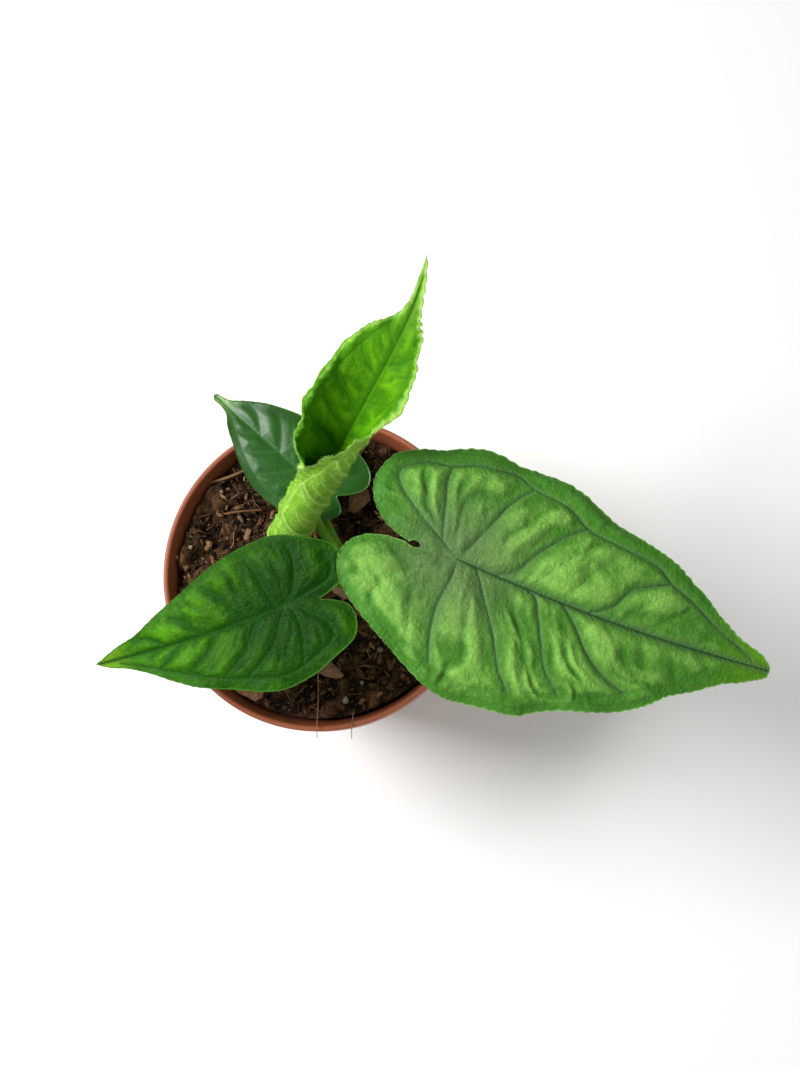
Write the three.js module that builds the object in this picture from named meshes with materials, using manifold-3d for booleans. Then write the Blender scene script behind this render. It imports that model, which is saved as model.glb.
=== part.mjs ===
// A young Alocasia olanii in a nine centimetre nursery pot. Millimetres, +Z up.
// The origin is the centre of the pot's underside, which stands on the table.
import * as THREE from "three";
import { mergeVertices } from "three/addons/utils/BufferGeometryUtils.js";
import Module from "manifold-3d";

const wasm = await Module();
wasm.setup();

// Clear space that neighbours keep, and how round the turned pieces are
const GAP = 0.3;
const POT_SIDES = 48;
const CORM_SIDES = 20;
const HOLE_SIDES = 14;
const STEM_SIDES = 10;
const STEPS_A_BEND = 2.5;

const COLOURS = {
  pot: 0xb5714c,
  soil: 0x33261a,
  rootstock: 0x8a6a48,
  bark: 0x7d5838,
  leafLarge: 0x5c9a48,
  leafLow: 0x3a7a22,
  leafBack: 0x2c611b,
  leafNew: 0x6bae26,
  petiole: 0x5f9428,
};

const POT = {
  height: 74,
  rimRadius: 45,
  collarHeight: 9,
  lipWidth: 2.2,
  baseRadius: 32,
  shoulderRadius: 42.6,
  wall: 1.2,
  floor: 1.8,
  edge: 0.7,
  channel: { inner: 20.5, outer: 28, slope: 1, rise: 2.2 },
  drain: { holes: 6, radius: 2.7, length: 12 },
};

// The peat's surface: a mound at the crown, lumps, and a flat bed under each piece of bark, whose
// edge eases out between two shares of the bark's length
const SOIL = {
  level: 67.8,
  mound: { height: 1.4, width: 15 },
  rings: 10,
  bedEdge: [0.65, 1],
};

// The crown, where every petiole starts, and the corm below it, from its toe to its top
const CROWN = {
  x: 9,
  y: 0,
  top: 71,
  socket: { floor: 68, flare: 0.7 },
  profile: [[0, 54], [3, 55.5], [6.2, 62.5], [7.6, 67.5], [7.2, 69.7], [6.8, 71]],
};

// Roots leave the corm at one height. course is each one's way out and down, as shares of both
const ROOTS = [
  { turn: 20, reach: 25, drop: 30 },
  { turn: 95, reach: 30, drop: 26 },
  { turn: 165, reach: 34, drop: 36 },
  { turn: 235, reach: 30, drop: 24 },
  { turn: 310, reach: 24, drop: 38 },
];
const ROOT = {
  start: 60.5,
  radii: [1.1, 0.6],
  sides: 6,
  steps: 6,
  course: [[0.04, 0], [0.35, 0.2], [0.7, 0.5], [1, 1]],
};

// Pieces of bark on the soil: middle, size and turn
const BARK = [
  { name: "bark_chip_rim", x: -19.8, y: -32, length: 9.5, width: 5.4, thick: 2, turn: -32 },
  { name: "bark_chip_front", x: 1.6, y: -27, length: 10, width: 4.6, thick: 1.8, turn: -20 },
  { name: "bark_chip_back", x: 10, y: 22, length: 9, width: 6, thick: 2, turn: 65 },
];
const BARK_EDGE = { corners: 9, roughness: 0.14, step: 2.4, shift: 1.7 };

// Each leaf is drawn flat from its outline, in its own frame: the origin is the point where the
// petiole meets the blade, x runs along the midrib to the tip, and y to the left.
// pitch lifts the tip, and roll lifts the left half. bend droops the blade along the midrib.
// fold is the slope of each half at the midrib, and curl its curvature per millimetre, upwards
// if positive, given as [x, curl] stops. bow and hook move the midrib sideways.
const LEAVES = [
  {
    name: "leaf_large",
    colour: COLOURS.leafLarge,
    place: [41.1, -3.7, 120],
    heading: -16.6,
    pitch: -8.5,
    roll: -6,
    bend: 0.0034,
    backBend: 0.004,
    fold: 8,
    curl: { left: [[0, -0.018]], right: [[0, -0.011]] },
    bow: -2.6,
    hook: 0,
    thick: 0.8,
    wave: { height: 0.9, left: 6, right: 8 },
    left: [
      [-10.6, 0.9], [-14.5, 1.5], [-19.4, 3.4], [-24, 8], [-25.8, 14], [-23.2, 21.2], [-16.9, 25.5],
      [-8.6, 29], [0.4, 31], [8.7, 31.4], [17, 32.2], [25.3, 30.6], [34, 27.4], [44.5, 23.5],
      [52.5, 21.2], [58.5, 18.4], [65, 14.4], [70, 10.2], [76.6, 6.6], [84, 3.6], [88, 1.2],
    ],
    right: [
      [-10.6, 0.3], [-14.5, 0.6], [-19.5, 0.4], [-24.7, -1.3], [-28.2, -5.2], [-28.3, -10],
      [-25.6, -15.1], [-18.6, -20.8], [-11, -25.6], [-4, -29.8], [2, -32.7], [8, -33.4],
      [16, -32.4], [24.5, -31], [29, -28.6], [35, -25.8], [42, -23.8], [49.5, -21.4],
      [55.1, -18.2], [61, -14], [68, -10.6], [74.4, -7.2], [83, -3.9], [87.6, -1.6], [88, 1.2],
    ],
    side: 42,
    rings: 6,
    stem: [[12.7, -0.6], [15.2, -0.8, 84], [23, -1.8, 101], [33, -2.9, 113.5]],
    stemRadius: [1.6, 1.35],
  },
  {
    name: "leaf_low",
    colour: COLOURS.leafLow,
    place: [-4.3, -12.3, 98],
    heading: -164.5,
    pitch: -6,
    roll: 0,
    bend: 0.0045,
    backBend: 0.006,
    fold: 9,
    curl: { left: [[0, -0.016]], right: [[0, -0.016]] },
    bow: 1.3,
    hook: 0,
    thick: 0.8,
    wave: { height: 0.5, left: 5, right: 4 },
    left: [
      [-8.7, 1.3], [-11.5, 2.1], [-15.5, 4.6], [-16.5, 9], [-14.5, 13.6], [-8, 17.2],
      [-1.3, 20.2], [5.7, 21.2], [12, 20], [20.5, 16.8], [30.4, 13.2], [37, 9.8], [43, 6.2],
      [50, 3.2], [55.5, 1.8], [59.9, -0.1],
    ],
    right: [
      [-8.7, 0.7], [-11.8, -0.6], [-15.4, -2.6], [-17.2, -6.5], [-16, -11], [-12.5, -14.3],
      [-5, -17.6], [1.5, -19.4], [8, -19.4], [15, -18], [22, -15.6], [30, -12.4], [37.4, -9],
      [45, -5.2], [52, -3.2], [59.9, -0.1],
    ],
    side: 32,
    rings: 5,
    stem: [[6.3, -2.6], [4.6, -4.6, 82], [0.6, -8.4, 91]],
    stemRadius: [1.6, 1.2],
  },
  {
    name: "leaf_back",
    colour: COLOURS.leafBack,
    place: [-1.9, 24.2, 80],
    heading: 138.2,
    pitch: 8,
    roll: 0,
    bend: 0.006,
    backBend: 0.008,
    fold: 8,
    curl: { left: [[0, -0.02]], right: [[0, -0.02]] },
    bow: 0,
    hook: 0,
    thick: 0.8,
    wave: { height: 0.3, left: 4, right: 3 },
    left: [
      [-7.9, -1.8], [-9.4, -1.2], [-11.2, 0], [-11.7, 2.2], [-9.8, 5.2], [-6.5, 8.2], [-2, 10.6],
      [3, 12], [8, 12.4], [13, 11.8], [19, 9.6], [24, 6.9], [28.5, 4.6], [32, 1.8], [35, 0.6],
      [38.4, 0],
    ],
    right: [
      [-7.9, -2.4], [-9.5, -4], [-11.7, -7.2], [-12.3, -10], [-10.7, -12.8], [-7.2, -14.6],
      [-2, -15.2], [4, -14.8], [10, -13.8], [17, -11.6], [24.3, -8.3], [29.8, -4.8], [33.5, -2.2],
      [36, -1.2], [38.4, 0],
    ],
    side: 26,
    rings: 5,
    stem: [[6.9, 3.2], [6.4, 4.4, 73], [4.6, 8, 74.2], [2.2, 13, 74.6], [-0.6, 19, 76]],
    stemRadius: [1.5, 1.1],
  },
  {
    name: "leaf_new",
    colour: COLOURS.leafNew,
    place: [-1.4, 16.7, 88],
    heading: 46.9,
    pitch: 50.6,
    roll: 6,
    bend: 0.0003,
    backBend: 0,
    fold: 0,
    curl: {
      left: [[-5, 0.168], [12, 0.146], [28, 0.113], [45, 0.085], [65, 0.002], [91, 0.06]],
      right: [[-5, 0.263], [12, 0.227], [28, 0.176], [45, 0.134], [65, 0.056], [91, 0.083]],
    },
    bow: 0,
    hook: 3.9,
    thick: 0.7,
    wave: { height: 0.5, left: 15, right: 15 },
    left: [
      [-8, 0.6], [-12, 1.6], [-17, 4.4], [-19.6, 8.4], [-17, 12.4], [-6, 15.6], [0, 16.8],
      [10, 18.4], [20, 18.8], [30, 18], [42, 15.5], [54, 12.1], [66, 7.3], [74, 4], [80, 2],
      [85, 1.2], [91, 0],
    ],
    right: [
      [-8, -0.6], [-12, -1.6], [-17, -4.4], [-20, -9], [-18, -15], [-8, -20], [0, -21.8],
      [10, -22.6], [20, -21.6], [30, -19.4], [42, -16.4], [54, -12.4], [66, -7.6], [74, -4.2],
      [80, -2.2], [85, -1.3], [91, 0],
    ],
    side: 44,
    rings: 9,
    stem: [[9, 0], [7.4, 2.4, 75.8], [3.2, 8, 79.5], [0, 13.2, 82.4], [-0.2, 16.2, 85]],
    stemRadius: [1.6, 1.4],
  },
];
const WAVE_REACH = 5; // the wave dies away from the margin as this power

const radians = THREE.MathUtils.degToRad;

// A closed geometry as a solid: only positions, shared vertices merged, no collapsed faces
function solidOf(geometry) {
  const bare = geometry.clone();
  bare.deleteAttribute("normal");
  bare.deleteAttribute("uv");
  const merged = mergeVertices(bare, 1e-3);
  const index = merged.index.array;
  const kept = [];
  for (let i = 0; i < index.length; i += 3) {
    const [a, b, c] = index.subarray(i, i + 3);
    if (a !== b && b !== c && c !== a) kept.push(a, b, c);
  }
  return new wasm.Manifold(
    new wasm.Mesh({
      numProp: 3,
      vertProperties: new Float32Array(merged.attributes.position.array),
      triVerts: new Uint32Array(kept),
    }),
  );
}

function geometryOf(solid) {
  const { vertProperties, numProp, numVert, triVerts } = solid.getMesh();
  const positions = new Float32Array(numVert * 3);
  for (let i = 0; i < numVert; i++) {
    positions.set(vertProperties.subarray(i * numProp, i * numProp + 3), i * 3);
  }
  return meshGeometry(positions, triVerts);
}

function meshGeometry(positions, triangles) {
  const geometry = new THREE.BufferGeometry();
  geometry.setAttribute("position", new THREE.Float32BufferAttribute(positions, 3));
  geometry.setIndex(Array.from(triangles));
  geometry.computeVertexNormals();
  return geometry;
}

function turned(profile, sides = POT_SIDES) {
  const points = profile.map(([r, z]) => new THREE.Vector2(r, z));
  return new THREE.LatheGeometry(points, sides).rotateX(Math.PI / 2);
}

// Faces between rings of equally many points, with a single point at either end
function ringFaces(rings, count) {
  const faces = [];
  const last = 1 + rings * count;
  const at = (ring, i) => 1 + ring * count + (i % count);
  for (let i = 0; i < count; i++) {
    faces.push(0, at(0, i), at(0, i + 1));
    for (let ring = 0; ring < rings - 1; ring++) {
      faces.push(at(ring, i), at(ring + 1, i), at(ring + 1, i + 1));
      faces.push(at(ring, i), at(ring + 1, i + 1), at(ring, i + 1));
    }
    faces.push(last, at(rings - 1, i + 1), at(rings - 1, i));
  }
  return faces;
}

function outerWall(z) {
  const share = z / (POT.height - POT.collarHeight);
  return THREE.MathUtils.lerp(POT.baseRadius, POT.shoulderRadius, Math.min(share, 1));
}

const innerWall = (z) => outerWall(z) - POT.wall;

function potGeometry() {
  const { channel, drain, edge, floor, height, rimRadius } = POT;
  const shoulder = height - POT.collarHeight;
  const mouth = rimRadius - POT.lipWidth;
  const profile = [
    [0, 0],
    [channel.inner, 0],
    [channel.inner + channel.slope, channel.rise],
    [channel.outer - channel.slope, channel.rise],
    [channel.outer, 0],
    [outerWall(0) - edge, 0],
    [outerWall(edge), edge],
    [outerWall(shoulder), shoulder],
    [rimRadius - edge / 2, shoulder],
    [rimRadius, shoulder + edge],
    [rimRadius, height - edge],
    [rimRadius - edge, height],
    [mouth + edge, height],
    [mouth, height - edge],
    [innerWall(shoulder), shoulder],
    [innerWall(floor), floor],
    [channel.outer, floor],
    [channel.outer - channel.slope, floor + channel.rise],
    [channel.inner + channel.slope, floor + channel.rise],
    [channel.inner, floor],
    [0, floor],
  ];
  let pot = solidOf(turned(profile));
  const middle = (channel.inner + channel.outer) / 2;
  for (let i = 0; i < drain.holes; i++) {
    const angle = (i * 2 * Math.PI) / drain.holes;
    const hole = new THREE.CylinderGeometry(drain.radius, drain.radius, drain.length, HOLE_SIDES)
      .rotateX(Math.PI / 2)
      .translate(middle * Math.cos(angle), middle * Math.sin(angle), floor);
    pot = pot.subtract(solidOf(hole));
  }
  return geometryOf(pot);
}

function soilHeight(x, y) {
  const fromCrown = Math.hypot(x - CROWN.x, y - CROWN.y) / SOIL.mound.width;
  const mound = SOIL.mound.height * Math.exp(-fromCrown * fromCrown);
  const lumps =
    0.5 * Math.sin(0.42 * x + 1.1) * Math.cos(0.37 * y - 0.4) +
    0.35 * Math.sin(0.71 * x - 0.58 * y + 2) +
    0.25 * Math.cos(0.63 * x + 0.95 * y);
  return BARK.reduce((height, chip) => {
    const away = Math.hypot(x - chip.x, y - chip.y) / chip.length;
    const open = THREE.MathUtils.smoothstep(away, ...SOIL.bedEdge);
    return THREE.MathUtils.lerp(SOIL.level, height, open);
  }, SOIL.level + mound + lumps);
}

function soilGeometry() {
  const { channel, floor, height } = POT;
  const base = floor + GAP;
  const reach = innerWall(SOIL.level) - GAP;
  const rings = [];
  for (let i = 1; i <= SOIL.rings; i++) {
    const radius = (reach * i) / SOIL.rings;
    rings.push({ radius, z: null });
  }
  rings.push({ radius: innerWall(height / 2) - GAP, z: height / 2 });
  rings.push({ radius: innerWall(base) - GAP, z: base });
  rings.push({ radius: channel.outer + GAP, z: base });
  rings.push({ radius: channel.outer - channel.slope + GAP, z: base + channel.rise });
  rings.push({ radius: channel.inner + channel.slope - GAP, z: base + channel.rise });
  rings.push({ radius: channel.inner - GAP, z: base });

  const positions = [0, 0, soilHeight(0, 0)];
  for (const { radius, z } of rings) {
    for (let i = 0; i < POT_SIDES; i++) {
      const angle = (i * 2 * Math.PI) / POT_SIDES;
      const x = radius * Math.cos(angle);
      const y = radius * Math.sin(angle);
      positions.push(x, y, z ?? soilHeight(x, y));
    }
  }
  positions.push(0, 0, base);
  return meshGeometry(positions, ringFaces(rings.length, POT_SIDES));
}

// The corm, or with a clearance the hole for it, which runs up and out of the soil
function cormGeometry(clear = 0) {
  const [[, toe], ...side] = CROWN.profile;
  const top = clear > 0 ? POT.height : CROWN.top;
  const profile = [
    [0, toe - clear],
    ...side.slice(0, -1).map(([radius, z]) => [radius + clear, z]),
    [side.at(-1)[0] + clear, top],
    [0, top],
  ];
  return turned(profile, CORM_SIDES).translate(CROWN.x, CROWN.y, 0);
}

// A round stem along a smooth path, from one radius to another. The last ring lies in the plane
// through the path's end with the given normal, so a slanting stem ends flat under its blade.
function stemGeometry(path, radii, sides, steps, endNormal = null) {
  const curve = new THREE.CatmullRomCurve3(path, false, "centripetal");
  const frames = curve.computeFrenetFrames(steps, false);
  const positions = [...path[0].toArray()];
  for (let step = 0; step <= steps; step++) {
    const centre = curve.getPointAt(step / steps);
    const radius = THREE.MathUtils.lerp(radii[0], radii[1], step / steps);
    const tangent = frames.tangents[step];
    for (let i = 0; i < sides; i++) {
      const angle = (-i * 2 * Math.PI) / sides;
      const out = frames.normals[step]
        .clone()
        .multiplyScalar(Math.cos(angle))
        .addScaledVector(frames.binormals[step], Math.sin(angle));
      const point = out.multiplyScalar(radius);
      if (step === steps && endNormal) {
        point.addScaledVector(tangent, -point.dot(endNormal) / tangent.dot(endNormal));
      }
      positions.push(...point.add(centre).toArray());
    }
  }
  positions.push(...path[path.length - 1].toArray());
  return meshGeometry(positions, ringFaces(steps + 1, sides));
}

function rootGeometry(root, clear = 0) {
  const turn = radians(root.turn);
  const length = root.reach - CROWN.x * Math.cos(turn);
  const path = ROOT.course.map(([out, down]) => {
    const x = CROWN.x + length * out * Math.cos(turn);
    const y = CROWN.y + length * out * Math.sin(turn);
    return new THREE.Vector3(x, y, ROOT.start - root.drop * down);
  });
  const radii = ROOT.radii.map((radius) => radius + clear);
  return stemGeometry(path, radii, ROOT.sides, ROOT.steps);
}

function rootstockSolid(clear = 0) {
  return ROOTS.reduce(
    (whole, root) => whole.add(solidOf(rootGeometry(root, clear))),
    solidOf(cormGeometry(clear)),
  );
}

// The flared hole that a petiole's foot stands in
function socketGeometry([x, y], radius) {
  const { floor, flare } = CROWN.socket;
  const depth = CROWN.top - floor + GAP;
  return new THREE.CylinderGeometry(radius + GAP + flare, radius + GAP, depth, HOLE_SIDES)
    .rotateX(Math.PI / 2)
    .translate(x, y, floor + depth / 2);
}

function barkGeometry(chip, number) {
  const { corners, roughness, step, shift } = BARK_EDGE;
  const shape = new THREE.Shape();
  for (let i = 0; i < corners; i++) {
    const angle = (i * 2 * Math.PI) / corners;
    const rough = 1 + roughness * Math.sin(step * i + shift * number);
    const x = (chip.length / 2) * rough * Math.cos(angle);
    const y = (chip.width / 2) * rough * Math.sin(angle);
    if (i === 0) shape.moveTo(x, y);
    else shape.lineTo(x, y);
  }
  shape.closePath();
  return new THREE.ExtrudeGeometry(shape, { depth: chip.thick, bevelEnabled: false });
}

// Value of [x, value] stops at x, eased from stop to stop
function easedStops(stops, x) {
  return stops.slice(1).reduce((value, [x1, y1], i) => {
    const [x0, y0] = stops[i];
    return value + (y1 - y0) * THREE.MathUtils.smoothstep(x, x0, x1);
  }, stops[0][1]);
}

// Where an arc of this curvature, starting level, stands after a length
function arc(curvature, length) {
  if (Math.abs(curvature) < 1e-6) return [length, 0];
  const angle = curvature * length;
  return [Math.sin(angle) / curvature, (1 - Math.cos(angle)) / curvature];
}

// A point of the flat leaf, lifted by height along its normal, on the bent and curled blade
function bladePoint(leaf, x, y, height) {
  const share = THREE.MathUtils.clamp(x / leaf.left.at(-1)[0], 0, 1);
  const midrib = leaf.bow * Math.sin(Math.PI * share) + leaf.hook * share ** 8;
  const stops = y > 0 ? leaf.curl.left : leaf.curl.right;
  const curl = easedStops(stops, x);
  const fold = radians(leaf.fold);
  const [out, up] = arc(curl, Math.abs(y));
  const slope = fold + curl * Math.abs(y);
  const side = Math.sign(y);
  const across = side * (out * Math.cos(fold) - up * Math.sin(fold) - height * Math.sin(slope));
  const lift = out * Math.sin(fold) + up * Math.cos(fold) + height * Math.cos(slope);
  const droop = -(x > 0 ? leaf.bend : leaf.backBend);
  const [along, rise] = arc(droop, x);
  return [
    along - lift * Math.sin(droop * x),
    across + midrib,
    rise + lift * Math.cos(droop * x),
  ];
}

// The outline once round from the sinus, evenly spaced, and how far each margin is waved there
function bladeOutline(leaf) {
  const margin = (points, waves) => {
    const curve = new THREE.SplineCurve(points.map(([x, y]) => new THREE.Vector2(x, y)));
    return curve.getSpacedPoints(leaf.side).map((point, i) => {
      const share = i / leaf.side;
      const wave = Math.sin(2 * Math.PI * waves * share) * Math.sin(Math.PI * share);
      return { x: point.x, y: point.y, wave: leaf.wave.height * wave };
    });
  };
  const left = margin(leaf.left, leaf.wave.left);
  const right = margin(leaf.right, leaf.wave.right);
  return [...left, ...right.reverse().slice(1)];
}

// A blade of even thickness: rings like the outline round the petiole's point, on both faces
function bladeGeometry(leaf) {
  const outline = bladeOutline(leaf);
  const count = outline.length;
  const positions = [];
  for (const half of [leaf.thick / 2, -leaf.thick / 2]) {
    positions.push(...bladePoint(leaf, 0, 0, half));
    for (let ring = 1; ring <= leaf.rings; ring++) {
      const share = ring / leaf.rings;
      for (const { x, y, wave } of outline) {
        const relief = half + wave * share ** WAVE_REACH;
        positions.push(...bladePoint(leaf, x * share, y * share, relief));
      }
    }
  }
  const face = 1 + leaf.rings * count;
  const at = (side, ring, i) => side * face + (ring ? 1 + (ring - 1) * count + i : 0);
  const faces = [];
  const quad = (a, b, c, d) => faces.push(a, b, c, a, c, d);
  for (let i = 0; i < count - 1; i++) {
    faces.push(at(0, 0, 0), at(0, 1, i + 1), at(0, 1, i));
    faces.push(at(1, 0, 0), at(1, 1, i), at(1, 1, i + 1));
    for (let ring = 1; ring < leaf.rings; ring++) {
      quad(at(0, ring, i), at(0, ring, i + 1), at(0, ring + 1, i + 1), at(0, ring + 1, i));
      const under = [at(1, ring, i), at(1, ring, i + 1), at(1, ring + 1, i + 1), at(1, ring + 1, i)];
      faces.push(under[0], under[2], under[1], under[0], under[3], under[2]);
    }
    const rim = leaf.rings;
    quad(at(0, rim, i), at(0, rim, i + 1), at(1, rim, i + 1), at(1, rim, i));
  }
  // The two sides of the sinus
  for (let ring = 0; ring < leaf.rings; ring++) {
    quad(at(0, ring, 0), at(0, ring + 1, 0), at(1, ring + 1, 0), at(1, ring, 0));
    const end = count - 1;
    quad(at(0, ring + 1, end), at(0, ring, end), at(1, ring, end), at(1, ring + 1, end));
  }
  return meshGeometry(positions, faces);
}

function material(colour, roughness) {
  return new THREE.MeshStandardMaterial({ color: colour, roughness, metalness: 0 });
}

function named(name, geometry, colour, roughness) {
  const mesh = new THREE.Mesh(geometry, material(colour, roughness));
  mesh.name = name;
  return mesh;
}

function addPot(group) {
  group.add(named("pot", potGeometry(), COLOURS.pot, 0.45));
}

function addSoil(group) {
  const bed = solidOf(soilGeometry()).subtract(rootstockSolid(GAP));
  group.add(named("soil", geometryOf(bed), COLOURS.soil, 0.95));
  BARK.forEach((chip, number) => {
    const piece = named(chip.name, barkGeometry(chip, number), COLOURS.bark, 0.85);
    piece.position.set(chip.x, chip.y, SOIL.level + GAP);
    piece.rotation.z = radians(chip.turn);
    group.add(piece);
  });
}

function addRootstock(group) {
  const whole = LEAVES.reduce(
    (stock, { stem, stemRadius }) => stock.subtract(solidOf(socketGeometry(stem[0], stemRadius[0]))),
    rootstockSolid(),
  );
  group.add(named("rootstock", geometryOf(whole), COLOURS.rootstock, 0.8));
}

function addLeaf(group, leaf) {
  const frame = new THREE.Group();
  frame.position.set(...leaf.place);
  frame.rotation.set(radians(leaf.roll), -radians(leaf.pitch), radians(leaf.heading), "ZYX");
  frame.add(named(`${leaf.name}_blade`, bladeGeometry(leaf), leaf.colour, 0.6));
  group.add(frame);

  const normal = new THREE.Vector3(0, 0, 1).applyEuler(frame.rotation);
  const end = frame.position.clone().addScaledVector(normal, -leaf.thick / 2 - GAP);
  const [[x, y], ...bends] = leaf.stem;
  const path = [
    new THREE.Vector3(x, y, CROWN.socket.floor + GAP),
    new THREE.Vector3(x, y, CROWN.top),
    ...bends.map((point) => new THREE.Vector3(...point)),
    end,
  ];
  const steps = Math.round(path.length * STEPS_A_BEND);
  const stem = stemGeometry(path, leaf.stemRadius, STEM_SIDES, steps, normal);
  group.add(named(`${leaf.name}_petiole`, stem, COLOURS.petiole, 0.5));
}

const plant = new THREE.Group();
addPot(plant);
addSoil(plant);
addRootstock(plant);
LEAVES.forEach((leaf) => addLeaf(plant, leaf));

export default plant;
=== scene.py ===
"""Looks for a young Alocasia olanii in a nine centimetre nursery pot.

Sizes are in millimetres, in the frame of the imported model: the origin is the centre of the pot's
underside and +Z is up. Each leaf is drawn flat in a frame of its own, as LeafForm says.
"""
import logging
import math
from dataclasses import dataclass, field
from enum import Enum
from functools import cached_property

import bmesh
import bpy
import numpy as np
from mathutils import Euler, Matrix
from mathutils.geometry import delaunay_2d_cdt


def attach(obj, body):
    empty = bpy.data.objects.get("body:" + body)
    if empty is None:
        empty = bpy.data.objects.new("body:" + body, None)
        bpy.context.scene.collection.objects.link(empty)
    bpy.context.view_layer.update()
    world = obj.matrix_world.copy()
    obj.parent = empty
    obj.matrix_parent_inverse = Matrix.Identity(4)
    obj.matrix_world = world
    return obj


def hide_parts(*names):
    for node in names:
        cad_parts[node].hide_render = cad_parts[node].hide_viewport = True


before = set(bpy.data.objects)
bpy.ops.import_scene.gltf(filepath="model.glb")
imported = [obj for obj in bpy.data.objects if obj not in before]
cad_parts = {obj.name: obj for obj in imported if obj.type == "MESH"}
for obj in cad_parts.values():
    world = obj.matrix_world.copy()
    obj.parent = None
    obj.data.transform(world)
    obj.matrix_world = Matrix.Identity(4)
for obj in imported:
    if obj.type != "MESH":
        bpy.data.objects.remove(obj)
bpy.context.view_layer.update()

# Metres in a millimetre, and the room between neighbouring pieces in millimetres
MM = 0.001
GAP = 0.3

# Curve samples from point to point, ridges round a stalk, and distances worked out at a time
DENSE = 60
RIDGES = 7
AT_ONCE = 2_000_000
TINY = 1e-9

BODY = "root"
Point = tuple[float, float]
Colour = tuple[float, float, float]
Line = tuple[Point, ...]
log = logging.getLogger("plant")


class Face(Enum):
    """The two faces of a blade, as the side of its middle surface that each lies on."""

    UPPER = 1
    LOWER = -1


def smooth(value: np.ndarray, low: float, high: float) -> np.ndarray:
    """Ease from 0 at low to 1 at high."""
    share = np.clip((value - low) / (high - low), 0, 1)
    return share * share * (3 - 2 * share)


def bell(distance: np.ndarray, width: float) -> np.ndarray:
    """A soft bump that is 1 at no distance and dies away over the width."""
    return np.exp(-((distance / width) ** 2))


class Noise:
    """Smooth random heights from -1 to 1 over a plane, the same on each run."""

    SIZE = 64
    SHIFT = 17.3

    def __init__(self, seed: int) -> None:
        """Draw the table of heights.

        Args:
            seed: what the random draw starts from.
        """
        self.table = np.random.default_rng(seed).uniform(-1, 1, (self.SIZE, self.SIZE))

    def at(self, x: np.ndarray, y: np.ndarray) -> np.ndarray:
        """Read the heights.

        Args:
            x: places along the first axis, one table cell to the unit.
            y: places along the second axis.

        Returns:
            One height for each place.
        """
        column, row = np.floor(x).astype(int), np.floor(y).astype(int)
        across, along = smooth(x - column, 0, 1), smooth(y - row, 0, 1)
        a, b, c, d = (
            self.table[(column + i) % self.SIZE, (row + j) % self.SIZE] for j in (0, 1) for i in (0, 1)
        )
        near = a * (1 - across) + b * across
        far = c * (1 - across) + d * across
        return near * (1 - along) + far * along

    def rough(self, x: np.ndarray, y: np.ndarray, layers: int = 4) -> np.ndarray:
        """Add up finer and finer layers of the heights, each half as strong as the last."""
        turns = [(2**k, 0.5**k, self.SHIFT * k) for k in range(layers)]
        return sum(self.at(x * scale + shift, y * scale - shift) * part for scale, part, shift in turns)


def hermite(p1: np.ndarray, p2: np.ndarray, v1: np.ndarray, v2: np.ndarray, w: np.ndarray) -> np.ndarray:
    """Go from one point to the next, with a direction given at each, as w goes from 0 to 1."""
    return (2 * p1 - 2 * p2 + v1 + v2) * w**3 + (3 * p2 - 3 * p1 - 2 * v1 - v2) * w**2 + v1 * w + p1


def spline(points: Line, step: float) -> np.ndarray:
    """Draw a smooth line through points.

    Args:
        points: the points, in two or three dimensions.
        step: the distance between the samples.

    Returns:
        Samples of a uniform Catmull-Rom curve, evenly spaced, its two ends among them.
    """
    given = np.array(points, float)
    count = len(given) - 1
    t = np.linspace(0, count, DENSE * count + 1)
    k = np.minimum(t.astype(int), count - 1)
    w = (t - k)[:, None]
    p0, p1, p2, p3 = (given[np.clip(k + i, 0, count)] for i in (-1, 0, 1, 2))
    return evenly(hermite(p1, p2, (p2 - p0) / 2, (p3 - p1) / 2, w), step)


def evenly(dense: np.ndarray, step: float) -> np.ndarray:
    """Take samples about a step apart along a densely drawn line, its ends among them."""
    length = np.r_[0, np.cumsum(np.linalg.norm(np.diff(dense, axis=0), axis=1))]
    places = np.linspace(0, length[-1], max(2, round(length[-1] / step) + 1))
    return np.stack([np.interp(places, length, axis) for axis in dense.T], 1)


def segments(lines: list[np.ndarray]) -> tuple[np.ndarray, np.ndarray]:
    """Give the starts and ends of all the straight pieces of lines."""
    return np.vstack([line[:-1] for line in lines]), np.vstack([line[1:] for line in lines])


def nearest(points: np.ndarray, lines: list[np.ndarray]) -> tuple[np.ndarray, np.ndarray]:
    """Measure how far points lie from lines in a plane.

    Args:
        points: the points, one to a row.
        lines: each line's points.

    Returns:
        The distance to the nearest line, and on which side of its direction a point lies, which is
        positive to the left.
    """
    starts, ends = segments(lines)
    along = ends - starts
    square = np.maximum((along**2).sum(1), TINY)
    distances, sides = [], []
    for part in np.array_split(points, max(1, len(points) * len(starts) // AT_ONCE)):
        rel = part[:, None] - starts
        share = np.clip((rel * along).sum(2) / square, 0, 1)
        gap = np.linalg.norm(rel - share[..., None] * along, axis=2)
        best = gap.argmin(1)
        row = np.arange(len(part))
        distances.append(gap[row, best])
        cross = along[best, 0] * rel[row, best, 1] - along[best, 1] * rel[row, best, 0]
        sides.append(np.sign(cross))
    return np.concatenate(distances), np.concatenate(sides)


def inside(points: np.ndarray, loop: np.ndarray) -> np.ndarray:
    """Tell which points lie inside a closed loop in a plane."""
    a, b = loop, np.roll(loop, -1, axis=0)
    found = []
    for part in np.array_split(points, max(1, len(points) * len(loop) // AT_ONCE)):
        x, y = part[:, :1], part[:, 1:]
        spans = (a[:, 1] > y) != (b[:, 1] > y)
        rise = np.where(b[:, 1] == a[:, 1], TINY, b[:, 1] - a[:, 1])
        hit = x < a[:, 0] + (y - a[:, 1]) / rise * (b[:, 0] - a[:, 0])
        found.append((spans & hit).sum(1) % 2 == 1)
    return np.concatenate(found)


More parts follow.
